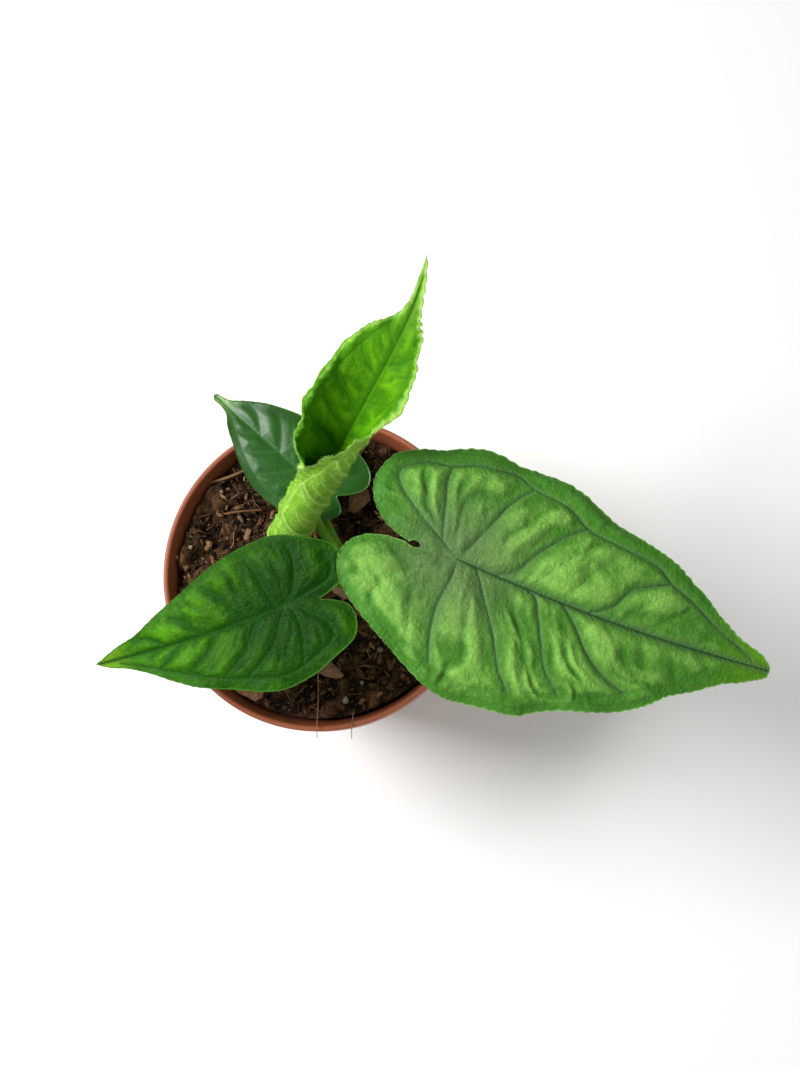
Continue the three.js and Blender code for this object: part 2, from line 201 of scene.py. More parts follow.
def honeycomb(low: np.ndarray, high: np.ndarray, step: float) -> np.ndarray:
    """Fill a rectangle with points a step apart, in rows set half a step over."""
    rows = np.arange(low[1], high[1], step * math.sqrt(3) / 2)
    points = [
        np.stack([np.arange(low[0] + (i % 2) * step / 2, high[0], step)] * 2, 1) * (1, 0) + (0, y)
        for i, y in enumerate(rows)
    ]
    return np.vstack(points)


def apart(points: np.ndarray, gap: float) -> np.ndarray:
    """Keep one point of each small square cell, so that no two are almost the same."""
    cells = np.round(points / gap).astype(int)
    kept = np.sort(np.unique(cells, axis=0, return_index=True)[1])
    return points[kept]


def triangulate(loop: np.ndarray, filling: np.ndarray) -> tuple[np.ndarray, np.ndarray, np.ndarray]:
    """Span a closed loop with triangles.

    Args:
        loop: the loop's points in order.
        filling: points inside it.

    Returns:
        All points, the triangles, and the places of the loop's points among the points.
    """
    count = len(loop)
    given = [tuple(p) for p in np.vstack([loop, filling]).tolist()]
    edges = [(i, (i + 1) % count) for i in range(count)]
    verts, _, faces, origins, _, _ = delaunay_2d_cdt(given, edges, [], 1, 1e-5)
    rim = np.zeros(count, int)
    for place, origin in enumerate(origins):
        for index in origin:
            if index < count:
                rim[index] = place
    points, faces = np.array([tuple(v) for v in verts]), np.array(faces, int)
    a, b, c = (points[faces[:, i]] for i in range(3))
    turn = (b[:, 0] - a[:, 0]) * (c[:, 1] - a[:, 1]) - (b[:, 1] - a[:, 1]) * (c[:, 0] - a[:, 0])
    faces[turn < 0] = faces[turn < 0][:, ::-1]
    return points, faces, rim


def quads(first: np.ndarray, second: np.ndarray) -> np.ndarray:
    """Join two closed rings of as many points with four-sided faces."""
    return np.stack([first, np.roll(first, -1), np.roll(second, -1), second], 1)


def tube_faces(rings: int, sides: int) -> list:
    """Join rings of points, one after another, into a tube that is open at both ends."""
    grid = np.arange(rings * sides).reshape(rings, sides)
    return np.vstack([quads(grid[i], grid[i + 1]) for i in range(rings - 1)]).tolist()


def closed_faces(rings: int, sides: int) -> list:
    """Join rings of points into a tube with a flat face at both ends."""
    last = (rings - 1) * sides
    ends = [list(range(sides))[::-1], list(range(last, last + sides))]
    return tube_faces(rings, sides) + ends


def angles(sides: int) -> np.ndarray:
    """Give the directions of points evenly spaced round a circle."""
    return np.arange(sides) * 2 * math.pi / sides


def circle(radius: float | np.ndarray, z: float, sides: int) -> np.ndarray:
    """Place points evenly round the axis, at a radius and a height."""
    turn = angles(sides)
    return np.stack([radius * np.cos(turn), radius * np.sin(turn), np.full(sides, float(z))], 1)


@dataclass
class Shape:
    """A mesh in the making: points in millimetres, faces, and values that its finish reads."""

    points: np.ndarray
    faces: list
    values: dict[str, np.ndarray] = field(default_factory=dict)

    @staticmethod
    def joined(shapes: list["Shape"]) -> "Shape":
        """Put shapes together in one, with their values."""
        starts = np.cumsum([0] + [len(s.points) for s in shapes])
        faces = [[i + start for i in face] for s, start in zip(shapes, starts) for face in s.faces]
        names = shapes[0].values
        values = {name: np.concatenate([s.values[name] for s in shapes]) for name in names}
        return Shape(np.vstack([s.points for s in shapes]), faces, values)

    def piece(
        self,
        name: str,
        finish: bpy.types.Material,
        slot: str,
        nodes: tuple[str, ...] = (),
        soft: bool = True,
    ) -> bpy.types.Object:
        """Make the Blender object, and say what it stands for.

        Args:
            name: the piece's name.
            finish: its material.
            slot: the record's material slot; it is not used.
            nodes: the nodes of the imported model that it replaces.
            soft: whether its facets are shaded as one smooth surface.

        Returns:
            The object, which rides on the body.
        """
        mesh = bpy.data.meshes.new(name)
        mesh.from_pydata((self.points * MM).tolist(), [], [list(map(int, f)) for f in self.faces])
        mesh.polygons.foreach_set("use_smooth", [soft] * len(mesh.polygons))
        for key, value in self.values.items():
            kind, label = ("FLOAT", "value") if value.ndim == 1 else ("FLOAT_VECTOR", "vector")
            layer = mesh.attributes.new(key, kind, "POINT")
            layer.data.foreach_set(label, value.astype(np.float32).ravel())
        mesh.materials.append(finish)
        made = bpy.data.objects.new(name, mesh)
        bpy.context.scene.collection.objects.link(made)
        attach(made, BODY)
        if nodes:
            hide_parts(*nodes)
        log.info("%s: %d faces, stands for %s", name, len(mesh.polygons), ", ".join(nodes) or "nothing")
        return made


class Graph:
    """A short way to write the nodes of a material or of a node group."""

    def __init__(self, tree: bpy.types.NodeTree) -> None:
        """Keep the tree that the nodes go into."""
        self.tree = tree

    def add(self, kind: str, inputs: dict | None = None, **settings) -> bpy.types.Node:
        """Add a node.

        Args:
            kind: its type, without the leading ShaderNode.
            inputs: a value or an output socket for each input, by name or number.
            settings: the node's own properties.

        Returns:
            The node.
        """
        node = self.tree.nodes.new("ShaderNode" + kind)
        for name, value in settings.items():
            setattr(node, name, value)
        for key, value in (inputs or {}).items():
            if isinstance(value, bpy.types.NodeSocket):
                self.tree.links.new(value, node.inputs[key])
            else:
                node.inputs[key].default_value = value
        return node

    def math(self, operation: str, a, b=0.0) -> bpy.types.NodeSocket:
        """Work out one sum of two values."""
        return self.add("Math", {0: a, 1: b}, operation=operation).outputs[0]

    def span(
        self, value, low: float, high: float, start: float = 0.0, end: float = 1.0
    ) -> bpy.types.NodeSocket:
        """Ease a value from start at low to end at high."""
        inputs = {"Value": value, "From Min": low, "From Max": high, "To Min": start, "To Max": end}
        return self.add("MapRange", inputs, interpolation_type="SMOOTHSTEP").outputs[0]

    def mix(self, share, a, b) -> bpy.types.NodeSocket:
        """Blend two colours."""
        return self.add("Mix", {0: share, 6: a, 7: b}, data_type="RGBA").outputs[2]

    def tint(self, share, colour, shade) -> bpy.types.NodeSocket:
        """Multiply a colour by a shade."""
        inputs = {0: share, 6: colour, 7: shade}
        return self.add("Mix", inputs, data_type="RGBA", blend_type="MULTIPLY").outputs[2]

    def noise(
        self, place, scale: float, detail: float = 3.0, roughness: float = 0.55
    ) -> bpy.types.NodeSocket:
        """Give a cloudy value from 0 to 1."""
        inputs = {"Vector": place, "Scale": scale, "Detail": detail, "Roughness": roughness}
        return self.add("TexNoise", inputs).outputs[0]

    def cells(self, place, scale: float, feature: str = "DISTANCE_TO_EDGE") -> bpy.types.NodeSocket:
        """Give a net of cells, 0 on their walls."""
        return self.add("TexVoronoi", {"Vector": place, "Scale": scale}, feature=feature).outputs[0]

    def named(self, attribute: str) -> bpy.types.Node:
        """Read a value that the mesh carries."""
        return self.add("Attribute", attribute_name=attribute)

    def parts(self, vector) -> list[bpy.types.NodeSocket]:
        """Split a vector into its three numbers."""
        return list(self.add("SeparateXYZ", {0: vector}).outputs)

    def place(self) -> bpy.types.NodeSocket:
        """Give the surface's place on the object, in millimetres."""
        source = self.add("TexCoord").outputs["Object"]
        return self.add("VectorMath", {0: source, "Scale": 1 / MM}, operation="SCALE").outputs[0]


class SharedGroup:
    """A node group with named inputs and outputs, built once and placed in each material."""

    OUTPUTS = {"Colour": "NodeSocketColor", "Roughness": "NodeSocketFloat", "Height": "NodeSocketFloat"}

    def __init__(self, name: str, colours: tuple[str, ...] = (), numbers: tuple[str, ...] = ()) -> None:
        """Make the empty group.

        Args:
            name: the group's name.
            colours: the names of its colour inputs.
            numbers: the names of its number inputs.
        """
        self.tree = bpy.data.node_groups.new(name, "ShaderNodeTree")
        for kind, names in (("NodeSocketColor", colours), ("NodeSocketFloat", numbers)):
            for label in names:
                self.tree.interface.new_socket(label, in_out="INPUT", socket_type=kind)
        for label, kind in self.OUTPUTS.items():
            self.tree.interface.new_socket(label, in_out="OUTPUT", socket_type=kind)
        self.given = self.tree.nodes.new("NodeGroupInput").outputs
        self.result = self.tree.nodes.new("NodeGroupOutput").inputs
        self.graph = Graph(self.tree)

    def give(self, **sockets) -> None:
        """Link sockets to the outputs of the same names, with _ for a space."""
        for label, socket in sockets.items():
            self.tree.links.new(socket, self.result[label.replace("_", " ")])

    def used_in(self, graph: Graph, values: dict) -> bpy.types.Node:
        """Place the group in a material with its own values."""
        node = graph.tree.nodes.new("ShaderNodeGroup")
        node.node_tree = self.tree
        for key, value in values.items():
            if isinstance(value, bpy.types.NodeSocket):
                graph.tree.links.new(value, node.inputs[key])
            elif isinstance(value, tuple):
                node.inputs[key].default_value = (*value, 1)
            else:
                node.inputs[key].default_value = value
        return node


class Tissue:
    """The shared effect that colours a blade by its veins and margin, and paints the light and shade of its
    quilting.

    It reads the blade's values "veins", "zones" and "lay". Widths are in millimetres.
    """

    COLOURS = ("Crest", "Valley", "Vein", "Halo", "Margin", "Tip", "Heart", "Underside", "Underside Vein")
    NUMBERS = ("Vein Width", "Halo Width", "Margin Width", "Minor", "Mottle", "Margin Shade", "Heart Reach")
    # Painted shade: the strip inside the margin is darkened, fully within 3.5 mm of the margin and not at
    # all beyond 6 mm.
    SHADE_BAND = (6.0, 3.5)
    TIP = (0.74, 0.98)
    SEAM = 1.9
    SEAM_WIDTH = 0.22

    def __init__(self) -> None:
        """Read the blade's values, and draw the noises that its colours wander by."""
        self.group = SharedGroup("leaf_tissue", self.COLOURS, self.NUMBERS)
        self.given = self.group.given
        g = self.graph = self.group.graph
        self.rib, self.lateral, self.minor = g.parts(g.named("veins").outputs["Vector"])
        # The third value of "zones" is the relief's height, which the colours turn into painted light on
        # crests and painted shade in valleys.
        self.margin, self.along, self.crest = g.parts(g.named("zones").outputs["Vector"])
        self.lay = g.named("lay").outputs["Vector"]
        self.cloud = g.noise(self.lay, 0.16, 3, 0.6)
        self.patch = g.noise(self.lay, 0.55, 3, 0.65)
        self.speckle = g.noise(self.lay, 2.6, 2, 0.7)
        self.net = g.cells(self.lay, 0.62)
        broad = g.math("SUBTRACT", self.cloud, 0.5)
        narrow = g.math("MULTIPLY", g.math("SUBTRACT", self.patch, 0.5), 0.6)
        self.wander = g.math("MULTIPLY", g.math("ADD", broad, narrow), self.given["Mottle"])

    def swayed(self, value, strength: float) -> bpy.types.NodeSocket:
        """Let a value wander, so that the border it draws isn't even."""
        return self.graph.math("ADD", value, self.graph.math("MULTIPLY", self.wander, strength))

    def field(self) -> bpy.types.NodeSocket:
        """Colour the upper face between the veins, with painted light on the crests of its relief, painted
        shade in its valleys, and a painted shade band inside the margin.
        """
        g, given = self.graph, self.given
        # Painted shade band inside the margin, where the blade droops away from the light: full on the left
        # half, half as strong on the right.
        left = g.span(g.parts(self.lay)[1], -2, 2, 0.5, 1.0)
        inset = g.span(self.margin, *self.SHADE_BAND)
        margin_shade = g.math("MULTIPLY", inset, g.math("MULTIPLY", left, given["Margin Shade"]))
        share = g.math("SUBTRACT", g.math("ADD", self.crest, self.wander), margin_shade)
        # Crests take the lighter colour and valleys the darker, as painted light and shade.
        colour = g.mix(g.span(share, 0.0, 1.0), given["Valley"], given["Crest"])
        reach = g.add("VectorMath", {0: self.lay}, operation="LENGTH").outputs[1]
        away = g.math("DIVIDE", reach, given["Heart Reach"])
        colour = g.mix(g.span(self.swayed(away, 0.3), 1.0, 0.1, 0.0, 0.85), colour, given["Heart"])
        colour = g.mix(g.span(self.swayed(self.along, 0.12), *self.TIP), colour, given["Tip"])
        return g.mix(g.span(self.net, 0.12, 0.0, 0.0, 0.16), colour, given["Vein"])

    def veined(self, colour) -> bpy.types.NodeSocket:
        """Draw the veins, their halos and the margin over a colour."""
        g, given = self.graph, self.given
        fine = g.math("MULTIPLY", g.span(self.minor, 0.3, 0.0), given["Minor"])
        colour = g.mix(fine, colour, given["Vein"])
        halo = g.math("DIVIDE", self.lateral, given["Halo Width"])
        colour = g.mix(g.span(halo, 1.0, 0.0, 0.0, 0.55), colour, given["Halo"])
        line = g.math("DIVIDE", self.lateral, given["Vein Width"])
        broken = g.span(self.cloud, 0.38, 0.62, 0.2, 1.0)
        faint = g.math("MULTIPLY", g.span(line, 1.0, 0.3, 0.0, 0.7), broken)
        colour = g.mix(faint, colour, given["Vein"])
        broad = g.math("DIVIDE", self.rib, given["Halo Width"])
        colour = g.mix(g.span(broad, 1.25, 0.2, 0.0, 0.75), colour, given["Halo"])
        core = g.math("DIVIDE", self.rib, given["Vein Width"])
        colour = g.mix(g.span(core, 1.2, 0.5, 0.0, 0.9), colour, given["Vein"])
        seam = g.math("ABSOLUTE", g.math("SUBTRACT", self.margin, self.SEAM))
        colour = g.mix(g.span(seam, self.SEAM_WIDTH, 0.0, 0.0, 0.3), colour, given["Vein"])
        edge = g.math("DIVIDE", self.margin, given["Margin Width"])
        return g.mix(g.span(edge, 1.0, 0.1, 0.0, 0.85), colour, given["Margin"])

    def back(self) -> bpy.types.NodeSocket:
        """Colour the lower face, on which the veins stand out."""
        g, given = self.graph, self.given
        vein = given["Underside Vein"]
        raised = g.math("MINIMUM", self.lateral, self.rib)
        colour = g.mix(g.span(self.patch, 0.35, 0.7, 0.0, 0.35), given["Underside"], given["Valley"])
        colour = g.mix(g.span(raised, 0.6, 0.1, 0.0, 0.6), colour, vein)
        colour = g.mix(g.span(self.minor, 0.4, 0.08, 0.0, 0.7), colour, vein)
        return g.mix(g.span(self.net, 0.1, 0.0, 0.0, 0.3), colour, vein)

    def build(self) -> SharedGroup:
        """Put the two faces together.

        Returns:
            The finished group.
        """
        g = self.graph
        under = g.parts(self.lay)[2]
        colour = g.mix(under, self.veined(self.field()), self.back())
        grey = g.span(self.speckle, 0.2, 0.8, 0.86, 1.12)
        shade = g.add("CombineColor", {i: grey for i in range(3)}).outputs[0]
        self.group.give(
            Colour=g.tint(1.0, colour, shade),
            Roughness=g.span(g.noise(self.lay, 0.5, 2), 0.25, 0.75, 0.0, 1.0),
            Height=g.math("ADD", g.span(self.net, 0.0, 0.35), g.math("MULTIPLY", self.speckle, 0.6)),
        )
        return self.group


def worn_grain() -> SharedGroup:
    """Build the group that gives plastic, bark and stems their clouds, specks and scuffs.

    Returns:
        A group that reads the surface's place.
    """
    group = SharedGroup("worn_grain", ("Body", "Cloud", "Speck"), ("Cloud Size", "Speck Size", "Specks"))
    g, given = group.graph, group.given
    place = g.place()
    cloud_place, speck_place = (
        g.add("VectorMath", {0: place, 1: given[size]}, operation="DIVIDE").outputs[0]
        for size in ("Cloud Size", "Speck Size")
    )
    cloud = g.noise(cloud_place, 1.0, 4, 0.6)
    speck = g.noise(speck_place, 1.0, 3, 0.65)
    colour = g.mix(g.span(cloud, 0.35, 0.7), given["Body"], given["Cloud"])
    share = g.math("MULTIPLY", g.span(speck, 0.56, 0.68), given["Specks"])
    group.give(
        Colour=g.mix(share, colour, given["Speck"]),
        Roughness=g.math("ADD", g.math("MULTIPLY", cloud, 0.5), g.math("MULTIPLY", speck, 0.5)),
        Height=g.math("ADD", speck, g.math("MULTIPLY", cloud, 0.5)),
    )
    return group


@dataclass(frozen=True)
class Finish:
    """What every finish has: its name, roughness from its group's 0 to its 1, and bump depth."""

    name: str
    roughness: tuple[float, float] = (0.5, 0.7)
    bump: float = 0.05
    coat: float = 0.0
    coat_roughness: float = 0.2
    specular: float = 0.5
    subsurface: float = 0.0

    SUBSURFACE_REACH = (0.5, 1.0, 0.2)

    def surface(self, group: SharedGroup, values: dict) -> bpy.types.Material:
        """Make the material round a placed group.

        Args:
            group: the shared effect that colours it.
            values: the values of the group's inputs.

        Returns:
            The material.
        """
        material = bpy.data.materials.new(self.name)
        material.use_nodes = True
        graph = Graph(material.node_tree)
        shader = material.node_tree.nodes["Principled BSDF"]
        placed = group.used_in(graph, values)
        height = {"Height": placed.outputs["Height"], "Distance": self.bump * MM, "Strength": 1.0}
        bump = graph.add("Bump", height)
        roughness = graph.span(placed.outputs["Roughness"], 0, 1, *self.roughness)
        links = material.node_tree.links
        links.new(placed.outputs["Colour"], shader.inputs["Base Color"])
        links.new(roughness, shader.inputs["Roughness"])
        links.new(bump.outputs[0], shader.inputs["Normal"])
        constants = {
            "Coat Weight": self.coat, "Coat Roughness": self.coat_roughness,
            "Specular IOR Level": self.specular,
        }
        if self.subsurface:
            constants["Subsurface Weight"] = self.subsurface
            constants["Subsurface Radius"] = self.SUBSURFACE_REACH
            constants["Subsurface Scale"] = MM
        for label, value in constants.items():
            shader.inputs[label].default_value = value
        return material


@dataclass(frozen=True)
class LeafFinish(Finish):
    """The colours of a blade, from its crests to its underside; crest and valley are the painted light and
    shade of its relief.
    """

    crest: Colour = (0.1, 0.3, 0.05)
    valley: Colour = (0.05, 0.18, 0.02)
    vein: Colour = (0.03, 0.09, 0.02)
    halo: Colour = (0.1, 0.2, 0.08)
    margin: Colour = (0.15, 0.35, 0.08)
    tip: Colour = (0.12, 0.35, 0.01)
    heart: Colour = (0.08, 0.18, 0.06)
    underside: Colour = (0.3, 0.5, 0.15)
    underside_vein: Colour = (0.5, 0.65, 0.3)
    vein_width: float = 0.32
    halo_width: float = 1.3
    margin_width: float = 0.6
    minor: float = 0.35
    mottle: float = 0.9
    # How strongly the outermost strip is darkened as painted shade.
    margin_shade: float = 0.0
    heart_reach: float = 26.0

    def material(self, group: SharedGroup) -> bpy.types.Material:
        """Make the blade's material."""
        values = {
            "Crest": self.crest, "Valley": self.valley, "Vein": self.vein, "Halo": self.halo,
            "Margin": self.margin, "Tip": self.tip, "Heart": self.heart, "Underside": self.underside,
            "Underside Vein": self.underside_vein, "Vein Width": self.vein_width,
            "Halo Width": self.halo_width, "Margin Width": self.margin_width, "Minor": self.minor,
            "Mottle": self.mottle, "Margin Shade": self.margin_shade, "Heart Reach": self.heart_reach,
        }
        return self.surface(group, values)


@dataclass(frozen=True)
class GrainFinish(Finish):
    """A body colour with clouds and specks over it."""

    body: Colour = (0.5, 0.5, 0.5)
    cloud: Colour = (0.5, 0.5, 0.5)
    speck: Colour = (0.5, 0.5, 0.5)
    cloud_size: float = 12.0
    speck_size: float = 0.6
    specks: float = 0.5

    def material(self, group: SharedGroup) -> bpy.types.Material:
        """Make the material."""
        values = {
            "Body": self.body, "Cloud": self.cloud, "Speck": self.speck,
            "Cloud Size": self.cloud_size, "Speck Size": self.speck_size, "Specks": self.specks,
        }
        return self.surface(group, values)


@dataclass(frozen=True)
class PeatFinish(Finish):
    """Peat and fibre, whose every grain carries its own tone from 0, black, to 1, pale."""

    tones: tuple[tuple[float, Colour], ...] = ()

    GRIT_SCALE = 1.3
    GRIT_STRENGTH = 0.16

    def material(self) -> bpy.types.Material:
        """Make the material, which reads the value "tone"."""
        group = SharedGroup(self.name + "_tones")
        g = group.graph
        grit = g.noise(g.place(), self.GRIT_SCALE, 4, 0.7)
        shift = g.span(grit, 0.2, 0.8, -self.GRIT_STRENGTH, self.GRIT_STRENGTH)
        tone = g.math("ADD", g.named("tone").outputs["Fac"], shift)
        ramp = g.add("ValToRGB", {0: tone})
        (_, darkest), *between, (_, palest) = self.tones
        stops = ramp.color_ramp.elements
        for position, colour in between:
            stops.new(position).color = (*colour, 1)
        stops[0].color = (*darkest, 1)
        stops[-1].color = (*palest, 1)
        group.give(Colour=ramp.outputs[0], Roughness=grit, Height=grit)
        return self.surface(group, {})


@dataclass(frozen=True)
class LeafForm:
    """One leaf, drawn flat in its own frame.

    The origin is the point where the petiole meets the blade, x runs along the midrib to the tip and
    y to the left. Pitch lifts the tip and roll the left half. Bend droops the blade along the
    midrib. Fold is each half's slope at the midrib, and curl its curvature per millimetre, upwards
    if positive, as (x, curl) stops. Bow and hook move the midrib sideways.

    Quilt is the height of the pillows between the veins, streak of the wrinkles beside them, crepe
    of the fine roughness and scallop of the margin's teeth. Groove is the depth of the veins. Bead
    and lip are the swellings and the turned-out edge of a leaf that is still rolled.
    """

    name: str
    place: tuple[float, float, float]
    heading: float
    pitch: float
    roll: float
    bend: float
    back_bend: float
    fold: float
    curl_left: Line
    curl_right: Line
    left: Line
    right: Line
    waves: Point
    wave: float
    laterals_left: tuple[Line, ...]
    laterals_right: tuple[Line, ...]
    minors: tuple[Line, ...]
    rims: tuple[Line, ...]
    stem: tuple[tuple[float, ...], ...]
    stem_radius: Point
    thick: float = 0.8
    bow: float = 0.0
    hook: float = 0.0
    quilt: float = 0.5
    streak: float = 0.3
    groove: float = 0.3
    scallop: float = 0.22
    scallop_pitch: float = 2.5
    scallop_fade: Point = (80, 100)
    crepe: float = 0.07
    bead: float = 0.0
    lip: float = 0.0
    lip_from: Point = (-4, 6)
    lip_to: Point = (66, 52)
    grain: float = 0.6
    seed: int = 1


def eased_stops(stops: Line, x: np.ndarray) -> np.ndarray:
    """Read (x, value) stops at x, eased from stop to stop."""
    value = np.full(np.shape(x), stops[0][1], float)
    for (x0, y0), (x1, y1) in zip(stops, stops[1:]):
        value = value + (y1 - y0) * smooth(x, x0, x1)
    return value


def arc(curvature: np.ndarray, length: np.ndarray) -> tuple[np.ndarray, np.ndarray]:
    """Say where an arc that starts level stands after a length."""
    straight = 1e-6
    bent = np.where(np.abs(curvature) < straight, straight, curvature)
    return np.sin(bent * length) / bent, (1 - np.cos(bent * length)) / bent


@dataclass(frozen=True)
class Lie:
    """Where points of a flat leaf lie: their distances to its veins and margin.

    Along is the share of the midrib's length that is passed. Order counts the lateral veins passed.
    """

    flat: np.ndarray
    to_rib: np.ndarray
    to_lateral: np.ndarray
    to_minor: np.ndarray
    to_margin: np.ndarray
    along: np.ndarray
    order: np.ndarray

    @property
    def to_any(self) -> np.ndarray:
        """Distance to the nearest of the main veins."""
        return np.minimum(self.to_rib, self.to_lateral)


class Blade:
    """A leaf's blade: quilted between its veins, with a waved and scalloped margin."""

    MARGIN_STEP = 0.4
    MARGIN_CLEAR = 0.26
    VEIN_STEP = 0.45
    VEIN_ROWS = (0, 0.32, -0.32, 0.75, -0.75)
    VEIN_CLEAR = 0.24
    MINOR_STEP = 0.8
    VEIN_FARTHEST = 9
    RIGHT_SIDE = 20
    WAVE_REACH = 5
    EDGE_THICK = 0.32
    EDGE_REACH = 5.0

    def __init__(self, form: LeafForm) -> None:
        """Keep the leaf's form and its frame."""
        self.form = form
        degrees = (form.roll, -form.pitch, form.heading)
        self.turn = np.array(Euler(tuple(map(math.radians, degrees)), "XYZ").to_matrix())
        self.noise = Noise(form.seed)

    def wobble(self, length: np.ndarray, pitch: float, row: float) -> np.ndarray:
        """Give random values along a line, which change about once in a pitch."""
        return self.noise.at(length / pitch, np.full_like(length, row))

    def lay(self, x: np.ndarray, y: np.ndarray, lift: np.ndarray) -> np.ndarray:
        """Bend the flat leaf.

        Args:
            x: places along the midrib.
            y: places across it.
            lift: heights off the middle surface, along its normal.

        Returns:
            The points of the bent and curled blade.
        """
        form = self.form
        share = np.clip(x / form.left[-1][0], 0, 1)
        midrib = form.bow * np.sin(math.pi * share) + form.hook * share**8
        curl = np.where(y > 0, eased_stops(form.curl_left, x), eased_stops(form.curl_right, x))
        fold, reach, side = math.radians(form.fold), np.abs(y), np.sign(y)
        out, up = arc(curl, reach)
        slope = fold + curl * reach
        across = side * (out * math.cos(fold) - up * math.sin(fold) - lift * np.sin(slope))
        rise = out * math.sin(fold) + up * math.cos(fold) + lift * np.cos(slope)
        droop = -np.where(x > 0, form.bend, form.back_bend)
        along, drop = arc(droop, x)
        local = np.stack(
            [along - rise * np.sin(droop * x), across + midrib, drop + rise * np.cos(droop * x)], 1
        )
        return local @ self.turn.T + form.place

    @cached_property
    def margin(self) -> np.ndarray:
        """The flat outline, round from the sinus by the left side, with its scallops."""
        form = self.form
        left, right = (spline(side, self.MARGIN_STEP) for side in (form.left, form.right))
        loop = np.vstack([left, right[::-1][1:]])
        ahead = np.roll(loop, -2, 0) - np.roll(loop, 2, 0)
        normal = np.stack([-ahead[:, 1], ahead[:, 0]], 1) / np.linalg.norm(ahead, axis=1)[:, None]
        length = np.r_[0, np.cumsum(np.linalg.norm(np.diff(loop, axis=0), axis=1))]
        phase = length / form.scallop_pitch + 1.2 * self.wobble(length, 7, 3.5)
        bulge = np.abs(np.sin(math.pi * phase)) - 0.6 + 0.7 * self.wobble(length, 4.1, 5.5)
        strength = form.scallop * (0.6 + 0.8 * np.abs(self.wobble(length, 5, 9.5)))
        ends = smooth(length, 4, 12) * smooth(length[-1] - length, 4, 12)
        ends = ends * np.where(loop[:, 1] > 0, 1 - 0.7 * smooth(loop[:, 0], *form.scallop_fade), 1)
        return loop + normal * (bulge * strength * ends)[:, None]

    @cached_property
    def ribs(self) -> list[np.ndarray]:
        """The flat midrib, and the lines of the lateral veins and the stronger collecting one."""
        form = self.form
        drawn = (*form.laterals_left, *form.laterals_right, form.rims[0])
        midrib = np.array([(x, 0.0) for x in np.arange(0, form.left[-1][0] - 1, self.VEIN_STEP)])
        return [midrib, *(spline(line, self.VEIN_STEP) for line in drawn)]

    def plan(self) -> tuple[np.ndarray, np.ndarray, np.ndarray]:
        """Cover the flat leaf with triangles that follow its veins and margin."""
        loop, grain = self.margin, self.form.grain
        rows = []
        for line in self.ribs:
            ahead = np.gradient(line, axis=0)
            normal = np.stack([-ahead[:, 1], ahead[:, 0]], 1) / np.linalg.norm(ahead, axis=1)[:, None]
            rows += [line + normal * offset for offset in self.VEIN_ROWS]
        rows = apart(np.vstack(rows), self.VEIN_CLEAR)
        filling = honeycomb(loop.min(0), loop.max(0), grain)
        filling = filling[nearest(filling, self.ribs)[0] > max(self.VEIN_ROWS) + grain / 2]
        points = np.vstack([rows, filling])
        points = points[inside(points, loop)]
        points = points[nearest(points, [loop])[0] > self.MARGIN_CLEAR]
        return triangulate(loop, points)

    def order(self, flat: np.ndarray) -> np.ndarray:
        """Count the lateral veins from the sinus to each point, and the share of the way to the next."""
        counted = np.zeros(len(flat))
        for side, lines in ((1, self.form.laterals_left), (-1, self.form.laterals_right)):
            here = flat[:, 1] * side >= 0
            signed = []
            for line in lines:
                gap, left = nearest(flat[here], [spline(line, self.MINOR_STEP)])
                signed.append(-side * gap * np.where(left == 0, 1, left))
            signed = np.array(signed)
            passed = (signed > 0).sum(0)
            ahead = np.where(signed <= 0, -signed, np.inf).min(0)
            behind = np.where(signed > 0, signed, np.inf).min(0)
            ahead, behind = (np.minimum(gap, self.VEIN_FARTHEST) for gap in (ahead, behind))
            counted[here] = passed + behind / (ahead + behind + 1e-6) + self.RIGHT_SIDE * (side < 0)
        return counted

    def waved(self, flat: np.ndarray) -> np.ndarray:
        """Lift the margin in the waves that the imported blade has."""
        form = self.form
        table = []
        for line, waves, side in ((form.left, form.waves[0], 1), (form.right, form.waves[1], -1)):
            points = spline(line, 1.0)
            share = np.linspace(0, 1, len(points))
            height = np.sin(2 * math.pi * waves * share) * np.sin(math.pi * share)
            angle = np.arctan2(points[:, 1], points[:, 0])
            angle = np.where((side < 0) & (angle > 2), angle - 2 * math.pi, angle)
            table.append(np.stack([angle, np.linalg.norm(points, axis=1), height], 1))
        table = np.vstack(table)
        table = table[table[:, 0].argsort()]
        angle = np.arctan2(flat[:, 1], flat[:, 0])
        reach = np.interp(angle, table[:, 0], table[:, 1])
        share = np.clip(np.linalg.norm(flat, axis=1) / reach, 0, 1.02)
        return form.wave * np.interp(angle, table[:, 0], table[:, 2]) * share**self.WAVE_REACH

    def lie(self, flat: np.ndarray) -> Lie:
        """Measure where points of the flat leaf lie."""
        form = self.form
        x, y = flat.T
        minors = [spline(line, self.MINOR_STEP) for line in (*form.minors, *form.rims[1:])]
        return Lie(
            flat=flat,
            to_rib=np.where(x >= 0, np.abs(y), np.linalg.norm(flat, axis=1)),
            to_lateral=nearest(flat, self.ribs[1:])[0],
            to_minor=nearest(flat, minors)[0],
            to_margin=nearest(flat, [self.margin])[0],
            along=np.clip(x / form.left[-1][0], 0, 1),
            order=self.order(flat),
        )

    def fringe(self, lie: Lie) -> np.ndarray:
        """Lift the outermost strip: a fine flutter, beads, and a lip that turns outwards."""
        form, to_margin = self.form, lie.to_margin
        x, y = lie.flat.T
        length = form.left[-1][0]
        round_about = np.arctan2(y, x + 0.3 * length) * 0.5 * length
        flutter = self.wobble(round_about, 1.3, 0.0) * bell(to_margin, 1.3)
        beads = (0.5 + 0.5 * np.sin(x * 2 * math.pi / form.scallop_pitch)) * bell(to_margin - 0.9, 0.7)
        reach = smooth(x, *form.lip_from) * smooth(x, *form.lip_to)
        lip = np.clip(1 - to_margin / 2.8, 0, 1) ** 2 * reach * np.where(y < 0, 1, 0.35)
        return form.scallop * flutter + form.bead * beads * reach - form.lip * lip

